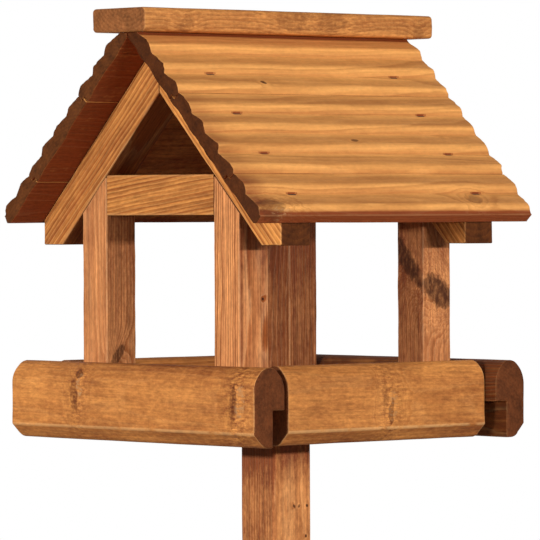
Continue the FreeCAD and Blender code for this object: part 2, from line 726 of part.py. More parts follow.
bend = "sizes.cap_round"
half_cap = "sizes.cap_width / 2"
flat = "(%s - %s)" % (half_cap, bend)
dip = "0 - %s * (1 - sqrt(2) / 2)" % bend
cap = timber_body("ridge_cap_body", "XZ_Plane",
                  [("0 - " + flat, "0"), (flat, "0", dip), (half_cap, bend),
                   (half_cap, "sizes.cap_thickness - " + bend, dip), (flat, "sizes.cap_thickness"),
                   ("0 - " + flat, "sizes.cap_thickness", dip),
                   ("0 - " + half_cap, "sizes.cap_thickness - " + bend), ("0 - " + half_cap, bend, dip)],
                  "layout.cap_length")
put(cap, "layout.mid_x", "layout.mid_y", "layout.cap_bottom")
finish(cap, "ridge_cap", ridge_screw_cutter)

# Base: two feet, half-lapped at the middle, and four braces

half_foot = "sizes.foot_length / 2"
half_lap = "(sizes.foot_width / 2 + sizes.foot_lap_gap)"
high = "sizes.foot_height"
shoulder = "sizes.foot_height - sizes.foot_chamfer"
chamfer_start = "(%s - sizes.foot_chamfer)" % half_foot
lap_floor = "sizes.foot_height / 2"

long_foot = timber_body("foot_long_body", "XZ_Plane",
                        [("0 - " + half_foot, "0"), (half_foot, "0"), (half_foot, shoulder),
                         (chamfer_start, high), (half_lap, high), (half_lap, lap_floor),
                         ("0 - " + half_lap, lap_floor), ("0 - " + half_lap, high),
                         ("0 - " + chamfer_start, high), ("0 - " + half_foot, shoulder)],
                        "sizes.foot_width")
finish(long_foot, "foot_long", foot_screw_cutter, brace_screw_cutter)
cross_foot = timber_body("foot_cross_body", "YZ_Plane",
                         [("0 - " + half_foot, "0"), ("0 - " + half_lap, "0"),
                          ("0 - " + half_lap, lap_floor), (half_lap, lap_floor), (half_lap, "0"),
                          (half_foot, "0"), (half_foot, shoulder), (chamfer_start, high),
                          ("0 - " + chamfer_start, high), ("0 - " + half_foot, shoulder)],
                         "sizes.foot_width")
finish(cross_foot, "foot_cross", foot_screw_cutter, brace_screw_cutter)

post_face = "sizes.post_size / 2"
brace_end = "(sizes.brace_reach - sizes.brace_size * sqrt(2))"
for word, turn in (("right", "0"), ("back", "90"), ("left", "180"), ("front", "270")):
    brace = timber_body("brace_body", "XZ_Plane",
                        [(post_face + " + " + brace_end, high), (post_face + " + sizes.brace_reach", high),
                         (post_face, high + " + sizes.brace_reach"), (post_face, high + " + " + brace_end)],
                        "sizes.brace_size")
    finish(put(brace, turn=turn), "brace_" + word, brace_screw_cutter)

# Check everything, then write one file for each sub-part

doc.recompute()
for item in doc.Objects:
    if "Invalid" in item.State or "Error" in item.State:
        raise RuntimeError("%s (%s) failed: %s" % (item.Name, item.Label, item.State))

os.makedirs("parts", exist_ok=True)
for name in node_names:
    part = doc.getObjectsByLabel(name)[0]
    if part.Shape.isNull() or not part.Shape.isValid() or not part.Shape.Solids:
        raise RuntimeError("%s has no valid solid" % name)
    part.Shape.exportStep(os.path.join("parts", name + ".step"))
print("nodes", len(node_names))
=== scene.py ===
"""A stained softwood bird table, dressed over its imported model.

Every timber is an outline carried along its length. The outline's corners are eased, its faces are a
little uneven, and each point knows where it lies in the log that the timber was sawn from.
"""

import bpy
import numpy as np
from mathutils import Matrix, Vector


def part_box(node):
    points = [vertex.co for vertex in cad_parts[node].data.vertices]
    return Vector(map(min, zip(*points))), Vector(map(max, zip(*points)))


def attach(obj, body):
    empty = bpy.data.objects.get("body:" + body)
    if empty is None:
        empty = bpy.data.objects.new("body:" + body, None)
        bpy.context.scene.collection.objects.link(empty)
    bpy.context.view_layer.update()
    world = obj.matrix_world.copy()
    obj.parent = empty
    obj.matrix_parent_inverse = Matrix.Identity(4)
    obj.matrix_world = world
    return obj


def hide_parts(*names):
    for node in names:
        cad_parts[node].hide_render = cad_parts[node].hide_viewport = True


bl_info = {
    "name": "Bird table",
    "version": (1, 0, 0),
    "blender": (4, 5, 0),
    "location": "View3D > Sidebar > Bird table",
    "description": "Makes a stained softwood bird table with a ribbed gable roof",
    "category": "Add Mesh",
}

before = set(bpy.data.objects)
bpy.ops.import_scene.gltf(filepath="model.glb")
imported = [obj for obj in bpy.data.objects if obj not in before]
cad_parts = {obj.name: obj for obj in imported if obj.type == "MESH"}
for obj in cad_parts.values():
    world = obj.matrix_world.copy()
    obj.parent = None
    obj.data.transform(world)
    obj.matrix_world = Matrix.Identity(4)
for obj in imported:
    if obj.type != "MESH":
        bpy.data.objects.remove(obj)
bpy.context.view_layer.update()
BODY = "root"


def linear(red, green, blue):
    """A colour as linear light, from its screen values between 0 and 255."""
    screen = np.array([red, green, blue]) / 255.0
    light = np.where(screen <= 0.04045, screen / 12.92, ((screen + 0.055) / 1.055) ** 2.4)
    return tuple(light.tolist()) + (1.0,)


class Box:
    """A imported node's box: its lowest and highest corners, its size and its middle."""

    def __init__(self, node):
        self.node = node
        self.low, self.high = (np.array(corner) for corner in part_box(node))
        self.size = self.high - self.low
        self.middle = (self.low + self.high) / 2

    def span(self, along):
        """How far the box reaches along an axis."""
        return self.low @ along, self.high @ along


MIDDLE_X = float(Box("rafter_front_right").low[0])
MIDDLE_Y = float(Box("ridge_cap").middle[1])
APEX_Z = float(Box("rafter_front_right").high[2])
TIMBER = float(Box("tie_beam_front").size[1])
SEEDS = {name: 11 + 7 * i for i, name in enumerate(sorted(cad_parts))}

SPACING = 0.006  # between the points of a timber's outline
BESIDE = 0.0012  # from an eased edge to the next point
BOWED = 0.0022  # between the points of a bowed edge
SHORT = 0.004  # an arc of less radius is an arris with few points, and an edge of less length has none
LIT_HEIGHT = 1.2  # the tray's, at which the lights point
FLOOR_HALF = 3.2
AIM = (0.01009, 0.0, 0.10349)  # from the tray's middle, level with its rails, to what the camera sees
ON_LINE = 0.0008  # how near a point lies to the middle line of a groove that takes it down
ON_FACE = 0.002  # and to the face that the groove is in
SHARP = np.radians(34)  # an edge that turns more than this is drawn sharp
FOUND = ("Pull", "Heart", "Bark", "Scar")  # what each knot adds to what the knots before it found
STAINS = ("Pale", "Brown", "Late wood", "End grain", "Knot", "Bare")


# Settings that a user would change


def length(name, words, default):
    """A size in metres."""
    return bpy.props.FloatProperty(name=name, description=words, default=default, unit="LENGTH", precision=4)


def number(name, words, default):
    """A plain number."""
    return bpy.props.FloatProperty(name=name, description=words, default=default)


def colour(name, words, screen):
    """A colour, given by its screen values."""
    return bpy.props.FloatVectorProperty(name=name, description=words, default=linear(*screen), size=4,
                                         subtype="COLOR", min=0.0, max=1.0)


class TimberSettings(bpy.types.PropertyGroup):
    """Shape and finish that all the timbers share."""

    arris: length("Arris", "Radius to which the long edges are eased", 0.0018)
    rim: length("Rim", "Radius to which the cut ends are eased", 0.0016)
    uneven: length("Uneven", "How far the faces wander from flat", 0.0005)
    step: length("Step", "Distance between points along a timber", 0.006)
    ring: length("Ring", "Width of one year's growth", 0.0042)
    pale: colour("Pale", "Stain on smooth pale wood", (224, 150, 80))
    brown: colour("Brown", "Stain on rough or dark wood", (128, 68, 34))
    late: colour("Late wood", "The dark line at the end of each year's growth", (138, 70, 28))
    end: colour("End grain", "Stain on sawn ends", (96, 52, 26))
    knot: colour("Knot", "Heart of a knot", (62, 28, 12))
    # Bare also paints the pale line on eased arrises, which is partly a painted highlight.
    bare: colour("Bare", "Wood where the stain is rubbed off the arrises", (238, 190, 130))


class RailSettings(bpy.types.PropertyGroup):
    """Section of the tray's rails."""

    chamfer: length("Chamfer", "Width of the chamfer on each long edge", 0.016)
    soft: length("Soft", "Radius at the edges of the rail's top", 0.0175)
    crisp: length("Crisp", "Radius at the outer edge of the lower chamfer", 0.0038)
    rebate_depth: length("Rebate depth", "How far the floor runs into a rail", 0.018)
    rebate_height: length("Rebate height", "Height of the rebate", 0.043)


class RoofSettings(bpy.types.PropertyGroup):
    """Section of the ribbed roof boards."""

    thickness: length("Thickness", "Board thickness at the valleys", 0.0165)
    rib_pitch: length("Rib pitch", "Distance from valley to valley", 0.033)
    rib_height: length("Rib height", "Height of a rib's crest above the valleys", 0.0052)
    rib_crest: length("Rib crest", "Distance of a rib's crest from the valley above it", 0.022)
    rise_bow: length("Rise bow", "How far the face above the crest is bowed", 0.0003)
    fall_bow: length("Fall bow", "How far the face below the crest is bowed", 0.0007)
    first_seam: length("First seam", "Distance from the ridge to the first seam", 0.110)
    board_width: length("Board width", "Cover of one whole board", 0.132)
    slope: length("Slope", "Length of the boards from ridge to eave", 0.3103)
    lap: length("Lap", "How far one board lies on the next", 0.006)
    gap: length("Gap", "Gap in a lap", 0.001)
    seat: length("Seat", "Height of the ridge cap above the apex", 0.0058)
    ease: length("Eave ease", "Chamfer on the eave's lower edge", 0.0045)
    step: length("Step", "Distance between points along a board", 0.0035)
    groove_length: length("Groove length", "Length of the groove that a staple presses", 0.0145)
    groove_depth: length("Groove depth", "Depth of the groove that a staple presses", 0.0017)


class BaseSettings(bpy.types.PropertyGroup):
    """Post, feet and braces."""

    post_round: length("Post round", "Radius of the post's edges", 0.004)
    cap_round: length("Cap round", "Radius of the ridge cap's edges", 0.005)
    foot_chamfer: length("Foot chamfer", "Chamfer on the feet's upper ends", 0.025)
    foot_gap: length("Foot gap", "Gap beside the half lap of the feet", 0.0003)


class StageSettings(bpy.types.PropertyGroup):
    """Light, floor and camera."""

    power: number("Power", "Power of each light, in watts", 164.0)
    right_width: length("Right width", "Width of the light on the right", 3.0)
    front_width: length("Front width", "Width of the light in front", 2.0)
    strip_height: length("Strip height", "Height of each light from edge to edge", 0.1)
    strip_away: length("Strip distance", "Distance of each light", 4.4)
    strip_rise: length("Strip rise", "Height of the lights' middle above the ground", 1.565)
    around: number("Around", "Strength of the light from all sides", 0.165)
    bounce: number("Bounce", "Share of its light that the floor throws back at the object", 0.2)
    azimuth: number("Azimuth", "Camera's direction, in degrees from the front", 47.96)
    pitch: number("Pitch", "How far the camera looks down, in degrees", 0.768)
    roll: number("Roll", "Camera's turn about its own axis, in degrees", -0.212)
    distance: length("Distance", "From the camera to the point that it looks at", 5.788)
    lens: number("Lens", "Focal length in millimetres on a 36 mm sensor", 324.25)


GROUPS = {"timber": TimberSettings, "rail": RailSettings, "roof": RoofSettings,
          "base": BaseSettings, "stage": StageSettings}


class BirdTableSettings(bpy.types.PropertyGroup):
    """All the settings of the bird table."""

    timber: bpy.props.PointerProperty(type=TimberSettings)
    rail: bpy.props.PointerProperty(type=RailSettings)
    roof: bpy.props.PointerProperty(type=RoofSettings)
    base: bpy.props.PointerProperty(type=BaseSettings)
    stage: bpy.props.PointerProperty(type=StageSettings)


def settings():
    """The settings of the open scene."""
    return bpy.context.scene.bird_table


# Surfaces


def unit(rows):
    """Each row scaled to length one."""
    return rows / np.maximum(np.linalg.norm(rows, axis=-1, keepdims=True), 1e-12)


def ripple(x, y, seed, waves=7):
    """Smooth unevenness between about -1 and 1.

    The sum of sine waves in random directions, each with its own start. The n-th wave is n times as
    short as the first and has one n-th of its height.
    """
    random = np.random.default_rng(seed)
    total = np.zeros(np.broadcast(x, y).shape)
    for n in range(1, waves + 1):
        turn, start = random.uniform(0, 2 * np.pi, 2)
        total += np.sin(n * (x * np.cos(turn) + y * np.sin(turn)) + start) / n
    return total / 1.6


def soft_outline(corners, radii, spacing=SPACING, bulges=None):
    """Points of a closed outline, anticlockwise, with each corner eased.

    A corner becomes an arc that touches both its edges at radius / tan(half the corner's angle) from
    it. An edge with a bulge is the arc of that height outside its chord. Other edges are cut into
    equal steps, after a short one beside each eased corner. Gives the points, their outward normals,
    1 for each point of an eased outer corner, and how far each may move inwards before the outline
    would cross itself: the corner's radius, and more with the distance from it.
    """
    corners = np.asarray(corners, float)
    count = len(corners)
    radii = np.broadcast_to(radii, count)
    bulges = np.zeros(count) if bulges is None else np.asarray(bulges, float)
    back = unit(np.roll(corners, 1, 0) - corners)
    ahead = unit(np.roll(corners, -1, 0) - corners)
    half = np.arccos(np.clip((back * ahead).sum(1), -1, 1)) / 2
    outer = back[:, 1] * ahead[:, 0] - back[:, 0] * ahead[:, 1] > 0
    reach = np.where(radii > 0, radii / np.tan(half), 0)
    inward = unit(back + ahead)
    centre = corners + inward * (radii / np.sin(half))[:, None]
    points, flags, limits = [], [], []

    def add(places, limit, arris=False):
        """More points of the outline, each with its limit."""
        points.append(places)
        flags.append(np.full(len(places), float(arris)))
        limits.append(np.broadcast_to(limit, len(places)))

    for i in range(count):
        after = (i + 1) % count
        if radii[i] > 0:
            steps = 5 if radii[i] < SHORT else 9
            sweep = np.linspace(-1, 1, steps)[:, None] * (np.pi / 2 - half[i])
            side = np.array([-inward[i, 1], inward[i, 0]]) * (1 if outer[i] else -1)
            turn = -inward[i] * np.cos(sweep) - side * np.sin(sweep)
            add(centre[i] + turn * radii[i], radii[i] if outer[i] else 1.0, outer[i] and steps == 5)
        else:
            add(corners[i:i + 1], BESIDE * np.tan(half[i]) if outer[i] else 1.0)
        start = corners[i] + ahead[i] * reach[i]
        stop = corners[after] + back[after] * reach[after]
        run = np.linalg.norm(stop - start)
        if bulges[i] > 0:
            steps = max(6, int(run / BOWED))
            share = np.linspace(0, 1, steps + 1)[1:-1, None]
            radius = (run ** 2 / 4 + bulges[i] ** 2) / (2 * bulges[i])
            rise = np.sqrt(radius ** 2 - (run * (share - 0.5)) ** 2) - (radius - bulges[i])
            out = np.array([ahead[i, 1], -ahead[i, 0]])
            places = start + (stop - start) * share + out * rise
            inner = share[:, 0] * run
        elif run > SHORT:
            inner = np.linspace(BESIDE, run - BESIDE, max(2, int(run / spacing) + 1))
            places = start + ahead[i] * inner[:, None]
        else:
            continue
        first = radii[i] + inner * np.tan(half[i]) if outer[i] else np.ones(len(inner))
        last = radii[after] + (run - inner) * np.tan(half[after]) if outer[after] else np.ones(len(inner))
        add(places, np.minimum(first, last))
    points = np.concatenate(points)
    direction = unit(np.roll(points, -1, 0) - points) + unit(points - np.roll(points, 1, 0))
    normals = unit(np.stack([direction[:, 1], -direction[:, 0]], 1))
    return points, normals, np.concatenate(flags), 0.95 * np.concatenate(limits)


class Log:
    """Where a timber lay in its log.

    Its three measures are the distance along the grain and two distances from the pith, across it.
    The node's seed moves the timber along an endless log, and the lean lets the rings run out of a
    face.
    """

    def __init__(self, node, along, across, pith, lean, middle=None):
        along, across = np.array(along, float), np.array(across, float)
        third = np.cross(along, across)
        self.node, self.box, self.along = node, Box(node), along
        self.middle = self.box.middle if middle is None else np.array(middle, float)
        self.rows = np.stack([along, across + along * lean[0], third + along * lean[1]])
        self.shift = np.array([SEEDS[node] * 1.37, -pith[0], -pith[1]])

    def at(self, places):
        """The three measures of one place, or of many."""
        return (np.asarray(places) - self.middle) @ self.rows.T + self.shift


def stations(start, stop, rim, step):
    """Rows of a timber between its ends: how far each lies inside the outline, and its place.

    A quarter circle of the rim's radius leads from each end's face to the sides.
    """
    turn = np.linspace(0, np.pi / 2, 5)
    inset = rim * (1 - np.sin(turn))
    place = rim * (1 - np.cos(turn))
    inner = np.linspace(start + rim + BESIDE, stop - rim - BESIDE, max(2, int((stop - start) / step)))
    insets = np.concatenate([inset, np.zeros(len(inner)), inset[::-1]])
    places = np.concatenate([start + place, inner, stop - place[::-1]])
    return insets, places


def carry(outline, side, up, origin, span, rim, step, uneven, seed, ragged=0.0):
    """A timber's surface: its outline carried from the span's start to its end.

    The outline lies in the plane of the side and up directions, and is carried along the third one.
    Each point moves inwards along its normal by the row's inset and by the unevenness, and the rows
    at the ends move inwards by the raggedness. Gives points, quads, the two ends, and the arris mask.
    """
    points, normals, flags, limits = outline
    side, up = np.array(side, float), np.array(up, float)
    third = np.cross(side, up)
    reach = sorted((np.array(span) * third.sum()).tolist())
    insets, places = (rows[:, None] for rows in stations(*reach, rim, step))
    around = np.concatenate([[0], np.cumsum(np.linalg.norm(np.diff(points, axis=0), axis=1))])[None]
    worn = 1 + 0.55 * ripple(around * 90, places * 25, seed)
    dip = uneven * (0.5 + 0.5 * ripple(around * 14, places * 16, seed + 1))
    inset = np.minimum(insets * np.clip(worn, 0.35, 1.6) + np.clip(dip, 0, None), limits)
    flat = points - normals * inset[..., None]
    ends = np.minimum(places - reach[0], reach[1] - places)
    near = np.clip(1 - ends / (4 * rim + 0.004), 0, 1)
    torn = ragged * near * np.clip(0.5 + ripple(around * 160, np.sign(places), seed + 2), 0, 1.6)
    depth = places - np.sign(places - sum(reach) / 2) * torn
    surface = origin + flat[..., :1] * side + flat[..., 1:] * up + depth[..., None] * third
    rows, count = inset.shape
    first = np.arange(rows - 1)[:, None] * count
    here, beside = first + np.arange(count), first + (np.arange(count) + 1) % count
    quads = np.stack([here, beside, beside + count, here + count], -1).reshape(-1, 4)
    caps = [np.arange(count)[::-1], np.arange(count) + (rows - 1) * count]
    return surface.reshape(-1, 3), quads, caps, np.maximum(flags, insets > 0).ravel()


def add_attribute(mesh, name, kind, domain, values):
    """Stores values under a name that the materials read."""
    layer = mesh.attributes.new(name, kind, domain)
    layer.data.foreach_set("vector" if kind == "FLOAT_VECTOR" else "value", np.ravel(values))


def add_piece(log, surface, look, material, ribs=None):
    """Puts a timber's surface into the scene as a piece that stands for its node.

    The look gives the tone from 0, pale, to 1, brown, and the figure, how strongly the grain shows.
    The tone of a face may be changed by the direction that it faces, and so may its saw marks: by the
    squared share to which it faces that way. A fade changes the tone along a direction, from a start
    over a reach, and only of the faces that face its last direction where it has one. The ribs hold
    each point's count of ribs down the slope, and 1 on the ribbed side. The arrises are marked by
    face corner, so that the flat end faces stay unmarked.
    """
    places, quads, caps, arris = surface
    name = log.node + "_timber"
    mesh = bpy.data.meshes.new(name)
    mesh.from_pydata(places.tolist(), [], quads.tolist() + [cap.tolist() for cap in caps])
    mesh.update()
    faces = len(mesh.polygons)
    normals = np.empty(faces * 3)
    mesh.polygons.foreach_get("normal", normals)
    normals = normals.reshape(-1, 3)
    counts = np.empty(faces, int)
    mesh.polygons.foreach_get("loop_total", counts)
    mesh.polygons.foreach_set("use_smooth", np.arange(faces) < len(quads))
    end = np.clip((np.abs(normals @ log.along) - 0.30) / 0.35, 0, 1)
    tone, sawn = np.full(faces, look["tone"]), np.full(faces, look.get("sawn", 0.0))
    for values, changes in ((tone, "faces"), (sawn, "rough")):
        for direction, change in look.get(changes, {}).items():
            values += change * np.clip(normals @ direction, 0, 1) ** 2
    ribs = np.zeros((2, len(places))) if ribs is None else ribs
    corners = np.concatenate([quads.ravel(), *caps])
    edge_rows = np.stack([arris, *ribs], 1)[corners]
    edge_rows[quads.size:, 0] = 0
    look_rows = np.repeat(np.stack([tone, np.full(faces, look["figure"]), end], 1), counts, axis=0)
    for direction, start, reach, change, *facing in look.get("fades", ()):
        share = np.clip((places @ direction - start) / reach, 0, 1)[corners]
        for faced in facing:
            share = share * np.repeat(np.clip(normals @ faced, 0, 1), counts)
        look_rows[:, 0] += change * share
    add_attribute(mesh, "grain", "FLOAT_VECTOR", "POINT", log.at(places))
    add_attribute(mesh, "look", "FLOAT_VECTOR", "CORNER", look_rows)
    add_attribute(mesh, "sawn", "FLOAT", "CORNER", np.repeat(sawn, counts))
    add_attribute(mesh, "edge", "FLOAT_VECTOR", "CORNER", edge_rows)
    mesh.set_sharp_from_angle(angle=SHARP)
    mesh.materials.append(material)
    piece = bpy.data.objects.new(name, mesh)
    bpy.context.scene.collection.objects.link(piece)
    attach(piece, BODY)
    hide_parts(log.node)


# Node trees


class Value:
    """A socket in a node tree. Arithmetic on it adds a node for each step."""

    def __init__(self, tree, socket):
        self.tree = tree
        self.socket = socket

    def __add__(self, other):
        return self.tree.calc("ADD", self, other)

    def __sub__(self, other):
        return self.tree.calc("SUBTRACT", self, other)

    def __rsub__(self, other):
        return self.tree.calc("SUBTRACT", other, self)

    def __mul__(self, other):
        return self.tree.calc("MULTIPLY", self, other)

    def __truediv__(self, other):
        return self.tree.calc("DIVIDE", self, other)

    def swing(self, size):
        """Noise made to swing about zero, to half its size each way."""
        return self.tree.calc("MULTIPLY_ADD", self, size, -size / 2)

    def step(self, start, stop):
        """0 below the start, 1 above the stop and a smooth rise between them."""
        inputs = {"Value": self, "From Min": start, "From Max": stop, "To Min": 0.0, "To Max": 1.0}
        return self.tree.value("ShaderNodeMapRange", inputs, interpolation_type="SMOOTHSTEP")


class Tree:
    """Adds nodes to a node tree, one step at a time. Their inputs may be values or constants."""

    def __init__(self, tree):
        self.tree = tree

    def fill(self, socket, value):
        """Joins a socket to a value, or sets it to a constant."""
        if isinstance(value, Value):
            self.tree.links.new(value.socket, socket)
        else:
            socket.default_value = value

    def node(self, kind, inputs=(), **values):
        """A node with its values set and its inputs filled."""
        node = self.tree.nodes.new(kind)
        for name, value in values.items():
            setattr(node, name, value)
        for key, value in dict(inputs).items():
            self.fill(node.inputs[key], value)
        return node

    def value(self, kind, inputs=(), output=0, **values):
        """One output of a new node."""
        return Value(self, self.node(kind, inputs, **values).outputs[output])

    def values(self, sockets):
        """All of a node's outputs, by their names."""
        return {socket.name: Value(self, socket) for socket in sockets}

    def group(self, name, make, inputs):
        """The outputs of a node group, which is built the first time that it is asked for."""
        group = bpy.data.node_groups.get(name) or make()
        return self.values(self.node("ShaderNodeGroup", inputs, node_tree=group).outputs)

    def calc(self, operation, *values, clamp=False):
        """One step of arithmetic."""
        return self.value("ShaderNodeMath", enumerate(values), operation=operation, use_clamp=clamp)

    def vector(self, operation, first, second):
        """One step of arithmetic on vectors."""
        return self.value("ShaderNodeVectorMath", {0: first, 1: second}, operation=operation)

    def split(self, vector):
        """The three parts of a vector."""
        return self.values(self.node("ShaderNodeSeparateXYZ", {0: vector}).outputs).values()

    def mix(self, factor, first, second):
        """Two colours mixed by a factor."""
        return self.value("ShaderNodeMix", {0: factor, 6: first, 7: second}, 2, data_type="RGBA")

    def brighten(self, colour, factor):
        """A colour multiplied by a number."""
        grey = self.value("ShaderNodeCombineXYZ", {0: factor, 1: factor, 2: factor})
        return self.vector("MULTIPLY", colour, grey)

    def noise(self, vector, along, across, detail=3.0, roughness=0.5, output=0):
        """Noise with so many waves to the metre along the grain and across it."""
        scaled = self.vector("MULTIPLY", vector, (along, across, across))
        inputs = {"Vector": scaled, "Scale": 1.0, "Detail": detail, "Roughness": roughness}
        return self.value("ShaderNodeTexNoise", inputs, output)

    def hypotenuse(self, first, second):
        """The length of a line with these two sides."""
        return self.calc("SQRT", first * first + second * second)


def new_group(name, inputs, outputs):
    """A shader node group with named sockets: gives its tree, its inputs and its output sockets."""
    group = bpy.data.node_groups.new(name, "ShaderNodeTree")
    for way, sockets in (("INPUT", inputs), ("OUTPUT", outputs)):
        for kind, names in sockets.items():
            for socket in names:
                group.interface.new_socket(name=socket, in_out=way, socket_type="NodeSocket" + kind)
    tree = Tree(group)
    given = tree.values(group.nodes.new("NodeGroupInput").outputs)
    return tree, given, group.nodes.new("NodeGroupOutput").inputs


def knot_group():
    """A knot: a branch that leaves the pith through one point of the surface.

    The distance from the branch is measured along the grain, divided by the stretch, and round the
    pith. The branch climbs along the grain by the rise, for each metre from the pith. The rings of
    the log bulge outwards near it, by a bell curve of that distance. A knot of negative depth is a
    scar, where the stain is rubbed off; on the front rail such pale scars are partly a painted highlight.
    """
    tree, given, leave = new_group(
        "Knot",
        {"Vector": ("Grain", "Centre"), "Float": ("Radius", "Stretch", "Rise", "Depth", *FOUND)},
        {"Float": FOUND})
    grain, radius = given["Grain"], given["Radius"]
    height, east, north = tree.split(grain)
    knot_height, knot_east, knot_north = tree.split(given["Centre"])
    span = tree.hypotenuse(knot_east, knot_north)
    sideways = (east * knot_north - north * knot_east) / span
    ahead = east * knot_east + north * knot_north
    facing = tree.calc("GREATER_THAN", ahead, 0.0)
    climbed = knot_height + (ahead / span - span) * given["Rise"]
    climbed = climbed + tree.noise(grain, 15, 70, 2.0).swing(0.01)
    share = tree.hypotenuse(sideways, (height - climbed) / given["Stretch"]) / radius
    share = share + tree.noise(grain, 140, 190, 2.0).swing(0.9)
    heart = (1.0 - share.step(0.75, 1.15)) * facing * given["Depth"]
    bark = (1.0 - tree.calc("ABSOLUTE", share - 1.0).step(0.05, 0.3)) * facing * given["Depth"]
    far = share / 2.3
    bell = tree.calc("EXPONENT", far * far * -1.0)
    tree.fill(leave["Pull"], given["Pull"] + bell * radius * facing * 1.6)
    for socket, value in (("Heart", heart), ("Bark", bark), ("Scar", heart * -1.0)):
        tree.fill(leave[socket], tree.calc("MAXIMUM", given[socket], value))
    return tree.tree


def softwood_group():
    """Stained softwood: rings about the pith, fibres along it, blotches of stain, and sawn ends.

    The ring number is the distance from the pith, less the knots' pull and with some wander, divided
    by the ring's width. Each ring darkens slowly and ends in a sudden pale step. On a ribbed board
    the face above each crest is darker, partly a darker stain and partly painted shade of a face that
    turns up away from the low lights; a thin painted shade lies along each valley. The pale line on
    worn arrises is partly rubbed stain and partly a painted highlight.
    """
    tree, given, leave = new_group(
        "Stained softwood",
        {"Vector": ("Grain", "Look", "Edge"), "Float": ("Sawn", "Ring", "Ribs", "Worn", *FOUND),
         "Color": STAINS},
        {"Color": ("Colour",), "Float": ("Roughness", "Height")})
    grain, marks, pull = given["Grain"], given["Sawn"], given["Pull"]
    tone, figure, end = tree.split(given["Look"])
    arris, phase, ribbed = tree.split(given["Edge"])
    bent = grain
    for along, across, width in ((4, 14, 0.014), (18, 110, 0.002)):
        wander = tree.noise(grain, along, across, 2.0, output="Color")
        wander = tree.vector("SUBTRACT", wander, (0.5, 0.5, 0.5))
        bent = tree.vector("ADD", bent, tree.vector("MULTIPLY", wander, (0, width, width)))
    _, east, north = tree.split(bent)
    years = (tree.hypotenuse(east, north) - pull) / given["Ring"]
    season = tree.calc("FRACT", years)
    year = tree.calc("FLOOR", years)
    strength = tree.value("ShaderNodeTexWhiteNoise", {"W": year}, "Value", noise_dimensions="1D")
    late = season.step(0.2, 0.85) * (1.0 - season.step(0.88, 1.0)) * (strength + 0.35)

    fibre = tree.noise(grain, 14, 420, 2.0, 0.6)
    speck = tree.noise(grain, 130, 330, 2.0, 0.6)
    streak = tree.noise(grain, 3.5, 170, 4.0, 0.6)
    brush = tree.noise(grain, 7, 60, 3.0, 0.6)
    blotch = tree.noise(grain, 10, 24, 4.0, 0.6)
    patch = tree.noise(grain, 50, 70, 3.0, 0.6)
    saw = tree.noise(grain, 420, 22, 2.0, 0.6)
    torn = tree.noise(grain, 120, 300, 3.0, 0.65)

    rib = tree.calc("FRACT", phase + tree.noise(grain, 7, 70, 3.0).swing(0.4))
    # Partly painted shade: the face above each crest is darker, and a thin painted shade line lies at each
    # valley.
    shade = (1.0 - rib.step(0.55, 0.8)) * rib.step(-0.1, 0.38) + rib.step(0.8, 1.0) * 0.2
    ribs = given["Ribs"] * ribbed
    calm = 1.0 - ribs * 0.55
    lines = figure * 1.3 + 0.35
    streaks = blotch.swing(0.75) + streak.swing(1.1) * lines + brush.swing(0.5) + patch.swing(0.5)
    rough = (saw.swing(0.2) + torn.swing(1.2)) * (marks + pull * 40)
    depth = tree.calc("ADD", tone + streaks * calm + ribs * shade * 0.45, rough, clamp=True)
    body = tree.mix(depth, given["Pale"], given["Brown"])
    body = tree.mix((1.0 - season.step(0.05, 0.3)) * figure * 0.16, body, given["Bare"])
    body = tree.mix(tree.calc("MULTIPLY", late, figure, clamp=True), body, given["Late wood"])
    body = tree.brighten(body, (fibre.swing(1.1) * lines + speck.swing(0.7)) * calm + 1.0)

    sawn = tree.mix(season.step(0.1, 0.9) * 0.4, given["End grain"], given["Knot"])
    sawn = tree.brighten(sawn, patch * 1.6 - 0.3 + torn + speck.swing(0.6))
    body = tree.mix(end, body, sawn)
    mottled = tree.calc("ADD", torn.swing(2.0) * marks, 0.9, clamp=True)
    body = tree.mix(given["Heart"] * mottled, body, given["Knot"])
    body = tree.mix(given["Scar"] * torn.step(0.46, 0.6), body, given["Bare"])
    body = tree.mix(given["Bark"] * 0.6, body, given["Knot"])
    # Pale line on the arrises: partly rubbed-off stain, partly a painted highlight on edges that catch the
    # light.
    rubbed = arris * patch.step(0.25, 0.5) * (1.0 - end) * given["Worn"] * (1.0 - (given["Ribs"] - ribs))
    tree.fill(leave["Colour"], tree.mix(rubbed, body, given["Bare"]))
    tree.fill(leave["Roughness"], blotch * 0.2 + 0.58 + end * 0.15)
    tree.fill(leave["Height"], late * figure * 0.5 + fibre * 0.6 + speck * 0.5 + given["Bark"] * -0.7
              + pull * 260 + saw * marks * 0.5 + torn * marks * 1.6)
    return tree.tree


def new_material(name):
    """An empty material: gives it, its tree and its Principled shader's inputs."""
    material = bpy.data.materials.new(name)
    material.use_nodes = True
    tree = Tree(material.node_tree)
    material.node_tree.nodes.clear()
    shader = tree.node("ShaderNodeBsdfPrincipled")
    tree.node("ShaderNodeOutputMaterial", {"Surface": Value(tree, shader.outputs[0])})
    return material, tree, shader.inputs


